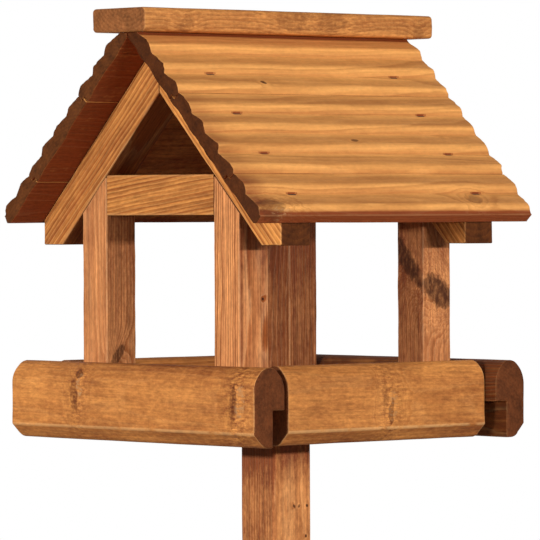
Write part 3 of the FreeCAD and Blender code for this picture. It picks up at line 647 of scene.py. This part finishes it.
def timber_material(name, log=None, knots=(), ring=None, ribs=0.0, worn=0.16, **colours):
    """Stained softwood with its own knots: each a place, then its radius, stretch, rise and depth."""
    chosen = settings().timber
    material, tree, shader = new_material(name)
    grain, look, edge = (tree.value("ShaderNodeAttribute", (), "Vector", attribute_name=key)
                         for key in ("grain", "look", "edge"))
    sawn = tree.value("ShaderNodeAttribute", (), "Fac", attribute_name="sawn")
    found = {}
    for knot in knots:
        found.update(zip(("Radius", "Stretch", "Rise", "Depth"), knot[3:]))
        centre = tuple(log.at(knot[:3]))
        found = tree.group("Knot", knot_group, {"Grain": grain, "Centre": centre, **found})
    given = {"Grain": grain, "Look": look, "Edge": edge, "Sawn": sawn, "Ring": ring or chosen.ring,
             "Ribs": ribs, "Worn": worn, **found}
    for stain in STAINS:
        key = stain.split()[0].lower()
        given[stain] = linear(*colours[key]) if key in colours else tuple(getattr(chosen, key))
    wood = tree.group("Stained softwood", softwood_group, given)
    bump = {"Height": wood["Height"], "Strength": 0.5, "Distance": 0.0006}
    tree.fill(shader["Base Color"], wood["Colour"])
    tree.fill(shader["Roughness"], wood["Roughness"])
    tree.fill(shader["Normal"], tree.value("ShaderNodeBump", bump))
    shader["Specular IOR Level"].default_value = 0.1
    return material


def fixing_material(name, waves, detail, first, second, rough, cloudy, metallic=0.0, scratched=False):
    """A finish of two shades, mixed by a cloudy noise that changes the roughness too.

    A scratched one has a sharper border between its shades, and fine scratches.
    """
    material, tree, shader = new_material(name)
    place = tree.value("ShaderNodeTexCoord", (), "Object")
    cloud = tree.noise(place, waves, waves, detail, 0.6)
    share = cloud
    if scratched:
        share = cloud.step(0.35, 0.7)
        bump = {"Height": tree.noise(place, 3000, 300, 2.0, 0.6), "Strength": 0.2, "Distance": 0.0002}
        tree.fill(shader["Normal"], tree.value("ShaderNodeBump", bump))
    tree.fill(shader["Base Color"], tree.mix(share, linear(*first), linear(*second)))
    tree.fill(shader["Roughness"], cloud * cloudy + rough)
    shader["Metallic"].default_value = metallic
    return material


# Pieces

FRONT, BACK, LEFT, RIGHT, UP, DOWN = (0, -1, 0), (0, 1, 0), (-1, 0, 0), (1, 0, 0), (0, 0, 1), (0, 0, -1)
APEX = np.array([MIDDLE_X, 0, APEX_Z])


def press(places, grooves, side, up):
    """Presses short grooves along Y into the outside of a surface, as deep as the settings say.

    A point goes down where it lies on a groove's middle line, between the groove's ends.
    """
    chosen = settings().roof
    for groove in grooves:
        away = places - groove
        near = np.abs(away[:, 1]) < chosen.groove_length / 2
        near &= (np.abs(away @ side) < ON_LINE) & (np.abs(away @ up) < ON_FACE)
        places = places - np.outer(near * chosen.groove_depth, up)
    return places


def make_timber(log, outline, side, up, span, look, material, slot_name="stained_timber",
                origin=(0, 0, 0), ribs=None, grooves=(), **changes):
    """One timber in place of its node. The ribs give a valley's place across and up, and the pitch."""
    chosen = settings().timber
    values = {"rim": chosen.rim, "step": chosen.step, "uneven": chosen.uneven, "seed": SEEDS[log.node]}
    values.update(changes)
    surface = carry(outline, side, up, origin, span, **values)
    if ribs:
        across, above = ((surface[0] - np.array(origin)) @ np.array([side, up]).T - ribs[:2]).T
        # Above the first valley the rib phase is held in the darker band: painted shadow of the ridge cap.
        highest = 0.15 - int(ribs[0] / ribs[2])
        ribs = np.maximum(across / ribs[2], highest), above > -0.002
    surface = (press(surface[0], grooves, side, up),) + surface[1:]
    add_piece(log, surface, look, material, ribs)


def make_board(log, side, up, radius, look, material, **changes):
    """A timber of rectangular section with eased corners, which fills its node's box."""
    box = log.box
    along = np.abs(np.cross(side, up))
    wide, tall = box.size @ side, box.size @ up
    outline = soft_outline([(0, 0), (wide, 0), (wide, tall), (0, tall)], radius)
    make_timber(log, outline, side, up, box.span(along), look, material, origin=box.low * (1 - along),
                **changes)


def rail_outline():
    """Section of a rail: an octagon-like shape with a rebate in the lower inner corner.

    Across is measured from the outer face inwards, and up from the rail's bottom.
    """
    chosen = settings().rail
    _, wide, tall = Box("rail_front").size
    cut, wall = chosen.chamfer, wide - chosen.rebate_depth
    corners = [(cut, 0), (wall, 0), (wall, chosen.rebate_height), (wide, chosen.rebate_height),
               (wide, tall - cut), (wide - cut, tall), (cut, tall), (0, tall - cut), (0, cut)]
    radii = np.full(len(corners), chosen.soft)
    radii[[4, 7]] *= 1.6  # the lower edge of each upper chamfer
    # The crisp outer edge of the lower chamfer counts as an arris, so it takes the pale rubbed line, which
    # is partly a painted highlight.
    radii[[0, 1, 2, 3, 8]] = 0.8 * chosen.soft, 0.0012, 0, 0.0012, chosen.crisp
    return soft_outline(corners, radii)


RAILS = {
    "front": {"facing": FRONT, "pith": (0.075, 0.01), "worn": 0.28, "tone": 0.48, "figure": 0.2, "sawn": 0.7,
              # Painted shade: the chamfers, turned up and down away from the low lights, are darker.
              "faces": {DOWN: 0.22, UP: 0.15},
              "fades": ((LEFT, 0.15, 0.03, -0.14), (RIGHT, 0.14, 0.05, 0.1),
                        (RIGHT, 0.0, 0.03, 0.25, UP), (RIGHT, 0.12, 0.05, -0.3, UP)),
              # The pale scars of negative depth to the right of the knots are partly torn wood and partly a
              # painted highlight on the lit side of each knot's swelling.
              "knots": ((-0.104, -0.215, 1.0725, 0.0045, 1.3, 0.0, 0.9),
                        (-0.109, -0.2225, 1.050, 0.016, 0.32, 0.0, 0.45),
                        (-0.106, -0.2225, 1.043, 0.012, 0.25, 0.0, 0.7),
                        (-0.099, -0.2225, 1.061, 0.014, 0.4, 0.0, -0.3),
                        (0.175, -0.2225, 1.051, 0.018, 0.16, 0.0, 0.9),
                        (0.174, -0.2225, 1.044, 0.018, 0.32, 0.0, 0.4),
                        (0.186, -0.2225, 1.048, 0.021, 0.4, 0.0, -0.3))},
    # Painted shadow: the darker brown and the darker front face, which is the rail's inside, stand for the
    # shadow that the right rail and the front rail's end cast on it.
    "back": {"facing": BACK, "pith": (0.05, 0.03), "worn": 0.1, "tone": 0.55, "figure": 0.4,
             "faces": {FRONT: 0.45, UP: 0.4}, "colours": {"brown": (92, 47, 22)}},
    "left": {"facing": LEFT, "pith": (0.06, -0.02), "worn": 0.28, "tone": 0.5, "figure": 0.3},
    "right": {"facing": RIGHT, "pith": (0.085, -0.015), "worn": 0.36, "tone": 0.44, "figure": 0.2,
              # Painted shade: the lower chamfer is darker.
              "sawn": 0.7, "faces": {DOWN: 0.35},
              "fades": ((BACK, 0.06, 0.06, 0.22, RIGHT), (BACK, 0.02, 0.08, -0.6, UP)),
              "knots": ((0.1925, -0.002, 1.048, 0.016, 0.25, 0.0, 0.35),
                        (0.1925, 0.010, 1.038, 0.018, 0.4, 0.0, -0.25),
                        (0.1925, 0.008, 1.030, 0.014, 0.22, 0.0, 0.7))},
}


class BIRDTABLE_OT_rails(bpy.types.Operator):
    """Makes the four chamfered rails of the tray"""

    bl_idname = "birdtable.rails"
    bl_label = "Tray rails"

    def execute(self, context):
        outline = rail_outline()
        for word, look in RAILS.items():
            facing = np.array(look["facing"], float)
            along = np.abs(np.cross(facing, UP))
            log = Log("rail_" + word, along, -facing, look["pith"], (0.02, 0.015))
            origin = np.where(facing > 0, log.box.high, log.box.low) * np.abs(facing)
            origin[2] = log.box.low[2]
            material = timber_material("Rail " + word, log, look.get("knots", ()), worn=look["worn"],
                                       knot=(92, 42, 18), pale=(224, 148, 76), **look.get("colours", {}))
            make_timber(log, outline, -facing, UP, log.box.span(along), look, material, origin=origin,
                        rim=0.0026)
        return {"FINISHED"}


class BIRDTABLE_OT_floor(bpy.types.Operator):
    """Makes the tray's floor boards and the bearers below them"""

    bl_idname = "birdtable.floor"
    bl_label = "Tray floor"

    def execute(self, context):
        material = timber_material("Floor boards")
        for node in sorted(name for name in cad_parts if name.startswith("floor_board_")):
            log = Log(node, RIGHT, BACK, (0.01 * (SEEDS[node] % 5) - 0.02, -0.05), (0.02, 0.03))
            make_board(log, BACK, UP, 0.0012, {"tone": 0.45, "figure": 0.6}, material,
                       slot_name="floor_timber")
        for node in ("bearer_left", "bearer_right"):
            log = Log(node, BACK, RIGHT, (0.02, -0.04), (0.01, 0.02))
            make_board(log, RIGHT, UP, 0.0015, {"tone": 0.55, "figure": 0.5}, material,
                       slot_name="floor_timber")
        return {"FINISHED"}


UPRIGHTS = {
    "front_left": {"pith": (-0.02, 0.045), "tone": 0.37, "figure": 0.5, "faces": {RIGHT: -0.08},
                   # Painted shadow: the right face darkens towards its top, under the roof.
                   "rough": {RIGHT: 0.8}, "fades": ((UP, 1.13, 0.07, 0.25, RIGHT),),
                   "knots": ((-0.1025, -0.159, 1.094, 0.006, 1.2, -1.0, 0.7),)},
    "front_right": {"pith": (-0.06, 0.012), "tone": 0.18, "figure": 0.8, "faces": {RIGHT: 0.36},
                    # Painted shadow: the right face's top is darker, under the rafter's foot.
                    "rough": {RIGHT: 0.5}, "fades": ((UP, 1.185, 0.03, 0.3, RIGHT),),
                    "knots": ((0.1335, -0.1395, 1.164, 0.0016, 1.0, 0.0, 1.0),)},
    "back_left": {"pith": (-0.02, 0.045), "tone": 0.7, "figure": 0.6, "sawn": 0.6,
                  # Painted shadow: darker towards the top, under the roof.
                  "fades": ((UP, 1.15, 0.08, 0.5),)},
    "back_right": {"pith": (-0.056, -0.031), "tone": 0.4, "figure": 0.45, "sawn": 0.6,
                   # Painted shadow: the front face is darker, behind the front right upright, and the right
                   # face's top is darker, under the eave.
                   "faces": {FRONT: 0.26}, "fades": ((UP, 1.185, 0.03, 0.3, RIGHT),),
                   "knots": ((0.1335, 0.140, 1.168, 0.020, 0.8, -1.1, 0.9),)},
}
RAFTER_TONES = {"front_left": 0.5, "front_right": 0.2, "back_left": 0.35, "back_right": 0.35}


def make_upright(name, side):
    """An upright: a rectangle seen from the front, with its top cut to the slope of the roof."""
    look = UPRIGHTS[name]
    arris = settings().timber.arris
    log = Log("upright_" + name, UP, RIGHT, look["pith"], (0.01, 0.012))
    inner, outer = log.box.span(RIGHT)[::side]
    bottom, top = log.box.span(UP)
    corners = [(inner, bottom), (outer, bottom), (outer, top - TIMBER), (inner, top)][::side]
    material = timber_material("Upright " + name.replace("_", " "), log, look.get("knots", ()), 0.0032,
                               knot=(58, 26, 11), pale=(224, 149, 90), brown=(128, 67, 40),
                               bare=(238, 190, 138))
    make_timber(log, soft_outline(corners, arris), RIGHT, UP, log.box.span(BACK), look, material,
                rim=arris)


def make_rafter(name, side):
    """A rafter: a strip down the slope, cut plumb at the ridge, and level and plumb at its foot."""
    arris = settings().timber.arris
    box = Box("rafter_" + name)
    slope = unit(np.array([side, 0.0, -1.0]))
    log = Log(box.node, slope, BACK, (0.0, 0.05 * side), (0.01, 0.02), (MIDDLE_X, box.middle[1], APEX_Z))
    reach, foot, plumb = box.size[0], box.low[2] - APEX_Z, TIMBER * np.sqrt(2)
    corners = [(0, -plumb), (side * (-plumb - foot), foot), (side * reach, foot),
               (side * reach, -reach), (0, 0)][::side]
    # Painted shade: the lower face, turned down away from the low lights, is darker.
    look = {"tone": RAFTER_TONES[name], "figure": 0.65,
            "faces": {tuple(-slope): 0.1, tuple(np.cross(slope, FRONT) * side): 0.4}}
    material = timber_material("Rafter " + name.replace("_", " "), ring=0.0055, pale=(226, 150, 75),
                               end=(88, 46, 18))
    make_timber(log, soft_outline(corners, arris), RIGHT, UP, box.span(BACK), look, material,
                origin=APEX, rim=arris)


class BIRDTABLE_OT_frames(bpy.types.Operator):
    """Makes the uprights, tie beams and rafters of both gable frames"""

    bl_idname = "birdtable.frames"
    bl_label = "Gable frames"

    def execute(self, context):
        look = {"tone": 0.44, "figure": 0.6, "fades": ((RIGHT, -0.04, 0.08, -0.08),)}
        for gable in ("front", "back"):
            log = Log("tie_beam_" + gable, RIGHT, UP, (-0.055, 0.03), (-0.12, -0.03))
            material = timber_material("Tie beam " + gable, ring=0.0045, pale=(224, 149, 74))
            make_board(log, BACK, UP, settings().timber.arris, look, material, rim=0.0006)
            for word, side in (("left", -1), ("right", 1)):
                make_upright(gable + "_" + word, side)
                make_rafter(gable + "_" + word, side)
        return {"FINISHED"}


def roof_outline(number):
    """Section of one roof board: down the slope, and square to it.

    The back is flat and the edges are half lapped. Outside, each rib rises gently from a valley to
    its crest and falls steeply to the next valley. The numbers run from the ridge to the eave.
    """
    chosen = settings().roof
    pitch, thick, half = chosen.rib_pitch, chosen.thickness, chosen.thickness / 2
    starts = [0.0, chosen.first_seam, chosen.first_seam + chosen.board_width]
    start, stop = starts[number - 1], (starts + [chosen.slope])[number]
    count = int((stop - start) / pitch + 0.001)
    first = start if start else stop - pitch * count
    last = first + pitch * count
    tongue = start - chosen.lap + chosen.gap if start else 0.0
    rows = [(tongue, 0.0)]
    if number < 3:
        rows += [(stop - chosen.lap, 0.0), (stop - chosen.lap, half), (stop, half)]
    else:
        nib = (stop - last) * chosen.rib_height / chosen.rib_crest
        rows += [(stop - chosen.ease, 0.0, 0.001), (stop, chosen.ease, 0.001), (stop, thick + nib, 0.001)]
    for k in range(count, 0, -1):
        valley = first + pitch * k
        rows.append((valley, thick, 0.0, chosen.fall_bow))
        rows.append((valley - pitch + chosen.rib_crest, thick + chosen.rib_height, 0.0, chosen.rise_bow))
    if start:
        seam = start + chosen.gap / 8
        rows += [(seam, thick), (seam, half - chosen.gap), (tongue, half - chosen.gap)]
    else:
        seat = chosen.seat
        rows += [(first, thick), (thick - seat * np.sqrt(2), thick),
                 (-seat * np.sqrt(0.5), seat * np.sqrt(0.5))]
    across, out, radii, bulges = zip(*(row + (0.0,) * (4 - len(row)) for row in rows))
    return soft_outline(list(zip(across, out)), radii, 0.008, bulges)


ROOF_TONES = (-0.13, -0.05, 0.0)
ROOF_MARKS = {
    ("right", 1): ((-0.084, 0.0945, 0.003, 1.0, 0.0, 1.0),),
    ("right", 2): ((-0.002, 0.190, 0.0025, 2.0, 0.0, 0.8),),
    ("right", 3): ((0.126, 0.288, 0.008, 1.2, 0.0, 0.4), (-0.204, 0.299, 0.011, 1.8, 0.0, 0.55),
                   (-0.19, 0.304, 0.007, 2.5, 0.0, -0.28)),
}


class BIRDTABLE_OT_roof(bpy.types.Operator):
    """Makes the ribbed roof boards of both slopes"""

    bl_idname = "birdtable.roof"
    bl_label = "Roof boards"

    def execute(self, context):
        chosen = settings().roof
        rafters = [Box("rafter_%s_right" % gable).middle[1] for gable in ("front", "back")]
        seams = (chosen.first_seam, chosen.first_seam + chosen.board_width)
        for word, side in (("left", -1), ("right", 1)):
            down = unit(np.array([side, 0.0, -1.0]))
            out = unit(np.array([side, 0.0, 1.0]))

            def outside(along, fall):
                """A place on the level of the valleys, so far along the roof and down the slope."""
                return APEX + down * fall + out * chosen.thickness + np.array([0, along, 0])

            grooves = [outside(along, seam + pitch) for seam in seams
                       for pitch in (-chosen.rib_pitch, chosen.rib_pitch) for along in rafters]
            for number in (1, 2, 3):
                log = Log("roof_board_%s_%d" % (word, number), BACK, down, (0.04, 0.06 * side),
                          (0.012, 0.016), APEX + down * (0.05 + 0.1 * (number - 1)))
                # Painted shade: the first fade darkens the last millimetres at the eave, the second the
                # strip under the ridge cap. Painted light: the last two make the undersides between the
                # gable frames paler, inside the roof's shade.
                fades = ((down, APEX @ down + 0.3035, 0.004, 0.9),
                         (-down, -(APEX @ down) - 0.017, 0.006, 1.2),
                         (FRONT, 0.185, 0.03, 0.05 * number ** 2, out),
                         (BACK, -0.135, 0.012, -0.5, -out), (BACK, 0.12, 0.012, 0.5, -out))
                # Painted light: the right boards' undersides are much paler than the left boards'.
                look = {"tone": ROOF_TONES[number - 1], "figure": 0.25, "rough": {tuple(-out): 0.5},
                        "faces": {tuple(-out): 1.2 if side < 0 else 0.1, tuple(down): 1.3}, "fades": fades}
                marks = [(*outside(along, fall), *sizes)
                         for along, fall, *sizes in ROOF_MARKS.get((word, number), ())]
                material = timber_material("Roof board %s %d" % (word, number), log, marks, ribs=1.0,
                                           worn=0.1, pale=(250, 176, 97), brown=(132, 62, 30),
                                           knot=(76, 36, 16), end=(76, 38, 13) if side > 0 else (92, 50, 20))
                make_timber(log, roof_outline(number), down, out, log.box.span(BACK), look, material,
                            "roof_timber", APEX, (chosen.first_seam, chosen.thickness, chosen.rib_pitch),
                            grooves, step=chosen.step, rim=0.0014, ragged=0.002)
        return {"FINISHED"}


class BIRDTABLE_OT_cap(bpy.types.Operator):
    """Makes the ridge cap"""

    bl_idname = "birdtable.cap"
    bl_label = "Ridge cap"

    def execute(self, context):
        log = Log("ridge_cap", BACK, RIGHT, (0.012, -0.05), (0.012, 0.01))
        stains = ((-0.005, 1.490, 0.007, 3.0, 0.0, 0.35), (0.058, 1.489, 0.006, 3.5, 0.0, 0.35),
                  (-0.172, 1.478, 0.005, 2.0, 0.0, 0.4), (0.2, 1.476, 0.005, 1.5, 0.0, 0.4))
        material = timber_material("Ridge cap", log, [(0.0395, *stain) for stain in stains],
                                   end=(140, 87, 48), knot=(112, 60, 28))
        make_board(log, RIGHT, UP, settings().base.cap_round, {"tone": 0.34, "figure": 0.3, "sawn": 0.8},
                   material, rim=0.003)
        return {"FINISHED"}


class BIRDTABLE_OT_base(bpy.types.Operator):
    """Makes the post, the crossed feet and the braces"""

    bl_idname = "birdtable.base"
    bl_label = "Post and base"

    def execute(self, context):
        chosen = settings().base
        log = Log("post", UP, RIGHT, (-0.06, 0.0), (0.006, 0.008), (0, 0, 0))
        dots = ((0.0018, 0.914), (0.0098, 0.914), (0.0227, 0.913), (0.0209, 0.878))
        material = timber_material("Post", log, [(0.03, *dot, 0.0016, 1.0, 0.0, 0.9) for dot in dots],
                                   pale=(226, 151, 88), brown=(126, 66, 38))
        # Painted shade: the front face is darker, and the top darkens as a painted shadow under the tray.
        look = {"tone": 0.36, "figure": 0.5, "faces": {FRONT: 0.25}, "sawn": 0.9,
                "fades": ((UP, 0.935, 0.05, 0.75),)}
        make_board(log, RIGHT, BACK, chosen.post_round, look, material, slot_name="base_timber",
                   step=0.012)

        material = timber_material("Base")
        look = {"tone": 0.35, "figure": 0.5}
        for node, along, side in (("foot_long", RIGHT, 1), ("foot_cross", BACK, -1)):
            size = Box(node).size
            half, wide, tall, cut = max(size[:2]) / 2, min(size[:2]), size[2], chosen.foot_chamfer
            lap = side * (wide / 2 + chosen.foot_gap)
            edge = tall if side > 0 else 0
            notch = [(lap, edge), (lap, tall / 2), (-lap, tall / 2), (-lap, edge)]
            ends = [(half, 0), (half, tall - cut), (half - cut, tall)]
            middle = ends + notch if side > 0 else notch + ends
            corners = [(-half, 0)] + middle + [(cut - half, tall), (-half, tall - cut)]
            radii = np.array([0.0 if abs(place) < abs(lap) + 0.001 else 0.002 for place, _ in corners])
            log = Log(node, along, UP, (-0.05, 0.02), (0.01, 0.01), (0, 0, tall / 2))
            make_timber(log, soft_outline(corners, radii, 0.008), along, UP, (-wide / 2, wide / 2), look,
                        material, "base_timber", rim=0.002)
        for word, along in (("right", RIGHT), ("left", LEFT), ("back", BACK), ("front", FRONT)):
            box = Box("brace_" + word)
            reach, wide, bottom = box.size[2], min(box.size[:2]), box.low[2]
            face = min(box.low @ along, box.high @ along)
            step = reach - wide * np.sqrt(2)
            corners = [(face + step, bottom), (face + reach, bottom), (face, bottom + reach),
                       (face, bottom + step)]
            log = Log(box.node, unit(np.array(along, float) - np.array(UP)), np.abs(np.cross(along, UP)),
                      (0.02, 0.05), (0.01, 0.01), (0, 0, bottom + reach))
            make_timber(log, soft_outline(corners, 0.0018, 0.008), along, UP, (-wide / 2, wide / 2), look,
                        material, "base_timber", rim=0.0018)
        return {"FINISHED"}


class BIRDTABLE_OT_fixings(bpy.types.Operator):
    """Finishes the screws, nails, staples, bolts and dowels"""

    bl_idname = "birdtable.fixings"
    bl_label = "Fixings"

    def execute(self, context):
        steel = [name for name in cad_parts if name.endswith(("screws", "nails"))]
        steel += ["coach_bolts", "washers", "nuts"]
        finishes = (
            (steel, "Zinc plated steel", 400, 4.0, (150, 146, 138), (96, 88, 78), 0.32, 0.3, 0.9, True),
            (["roof_staples"], "Darkened wire", 600, 3.0, (58, 36, 22), (96, 66, 42), 0.45, 0.3, 0.4),
            (["rail_dowels", "frame_dowels"], "Bare hardwood", 300, 4.0, (196, 160, 112), (164, 122, 76),
             0.5, 0.2))
        for nodes, *finish in finishes:
            material = fixing_material(*finish)
            for node in nodes:
                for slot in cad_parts[node].material_slots:
                    slot.material = material
        return {"FINISHED"}


def lit_white(tree, strength):
    """1 for what the camera and reflections see, and the strength for what lights the object."""
    path = tree.values(tree.node("ShaderNodeLightPath").outputs)
    seen = tree.calc("MAXIMUM", path["Is Camera Ray"], path["Is Glossy Ray"])
    seen = tree.calc("MAXIMUM", seen, path["Is Transmission Ray"])
    return seen + (1.0 - seen) * strength


def add_strip(name, direction, width):
    """A long low light on one side, which looks at the middle of the tray."""
    chosen = settings().stage
    light = bpy.data.lights.new(name, "AREA")
    light.shape = "RECTANGLE"
    light.size = width
    light.size_y = chosen.strip_height
    light.energy = chosen.power
    lamp = bpy.data.objects.new(name, light)
    lamp.location = Vector(direction) * chosen.strip_away + Vector((0, 0, chosen.strip_rise))
    lamp.rotation_euler = (lamp.location - Vector((0, 0, LIT_HEIGHT))).to_track_quat("Z", "Y").to_euler()
    bpy.context.scene.collection.objects.link(lamp)


def add_floor():
    """A square floor about the origin, as a grid of equal squares."""
    chosen = settings().stage
    mesh = bpy.data.meshes.new("Floor")
    grid = np.linspace(-FLOOR_HALF, FLOOR_HALF, 9)
    across, along = np.meshgrid(grid, grid)
    places = np.stack([across.ravel(), along.ravel(), np.zeros(across.size)], 1)
    first = (np.arange(8)[:, None] * 9 + np.arange(8)[None]).ravel()
    mesh.from_pydata(places.tolist(), [], np.stack([first, first + 1, first + 10, first + 9], 1).tolist())
    material, tree, shader = new_material("Pale floor")
    cloud = tree.noise(tree.value("ShaderNodeTexCoord", (), "Object"), 2, 2)
    tint = tree.mix(cloud, linear(236, 235, 232), linear(243, 242, 240))
    tree.fill(shader["Base Color"], tree.brighten(tint, lit_white(tree, chosen.bounce)))
    shader["Roughness"].default_value = 0.9
    mesh.materials.append(material)
    floor = bpy.data.objects.new("Floor", mesh)
    bpy.context.scene.collection.objects.link(floor)


def add_camera():
    """A camera that looks ahead by its azimuth and pitch, and is rolled about that direction."""
    chosen = settings().stage
    camera = bpy.data.cameras.new("Camera")
    turn, pitch, roll = (np.radians(value) for value in (chosen.azimuth, chosen.pitch, chosen.roll))
    ahead = Vector((-np.sin(turn) * np.cos(pitch), np.cos(turn) * np.cos(pitch), -np.sin(pitch)))
    level = Vector((np.cos(turn), np.sin(turn), 0))
    above = level.cross(ahead)
    right = level * float(np.cos(roll)) + above * float(np.sin(roll))
    above = above * float(np.cos(roll)) - level * float(np.sin(roll))
    target = Vector((MIDDLE_X, MIDDLE_Y, Box("rail_front").high[2])) + Vector(AIM)
    eye = bpy.data.objects.new("Camera", camera)
    rows = zip(right, above, -ahead, target - ahead * chosen.distance)
    eye.matrix_world = Matrix((*rows, (0, 0, 0, 1)))
    camera.sensor_width = 36
    camera.lens = chosen.lens
    camera.shift_x = -0.0047
    camera.shift_y = 0.0054
    camera.clip_end = 60
    bpy.context.scene.collection.objects.link(eye)
    bpy.context.scene.camera = eye


class BIRDTABLE_OT_stage(bpy.types.Operator):
    """Sets up the pale floor, the soft lights and the camera"""

    bl_idname = "birdtable.stage"
    bl_label = "Stage"

    def execute(self, context):
        chosen = settings().stage
        scene = context.scene
        scene.view_settings.view_transform = "Standard"
        world = bpy.data.worlds.new("Pale room")
        scene.world = world
        world.use_nodes = True
        back = world.node_tree.nodes["Background"]
        back.inputs["Color"].default_value = (1, 1, 1, 1)
        tree = Tree(world.node_tree)
        tree.fill(back.inputs["Strength"], lit_white(tree, chosen.around))
        add_floor()
        add_strip("Right strip", RIGHT, chosen.right_width)
        add_strip("Front strip", FRONT, chosen.front_width)
        add_camera()
        return {"FINISHED"}


OPERATORS = (BIRDTABLE_OT_rails, BIRDTABLE_OT_floor, BIRDTABLE_OT_frames, BIRDTABLE_OT_roof,
             BIRDTABLE_OT_cap, BIRDTABLE_OT_base, BIRDTABLE_OT_fixings, BIRDTABLE_OT_stage)


class BIRDTABLE_PT_panel(bpy.types.Panel):
    """Lists the bird table's pieces and their settings"""

    bl_idname = "BIRDTABLE_PT_panel"
    bl_label = "Bird table"
    bl_space_type = "VIEW_3D"
    bl_region_type = "UI"
    bl_category = "Bird table"

    def draw(self, context):
        for operator in OPERATORS:
            self.layout.operator(operator.bl_idname)
        for name, group in GROUPS.items():
            box = self.layout.box()
            box.label(text=name.title())
            for key in group.__annotations__:
                box.prop(getattr(settings(), name), key)


CLASSES = tuple(GROUPS.values()) + (BirdTableSettings,) + OPERATORS + (BIRDTABLE_PT_panel,)


def register():
    """Adds the classes and the settings."""
    for item in CLASSES:
        bpy.utils.register_class(item)
    bpy.types.Scene.bird_table = bpy.props.PointerProperty(type=BirdTableSettings)


def unregister():
    """Takes the settings and the classes away again."""
    del bpy.types.Scene.bird_table
    for item in reversed(CLASSES):
        bpy.utils.unregister_class(item)


def main():
    """Makes the whole bird table."""
    register()
    for operator in OPERATORS:
        area, name = operator.bl_idname.split(".")
        getattr(getattr(bpy.ops, area), name)()


if __name__ == "__main__":
    main()
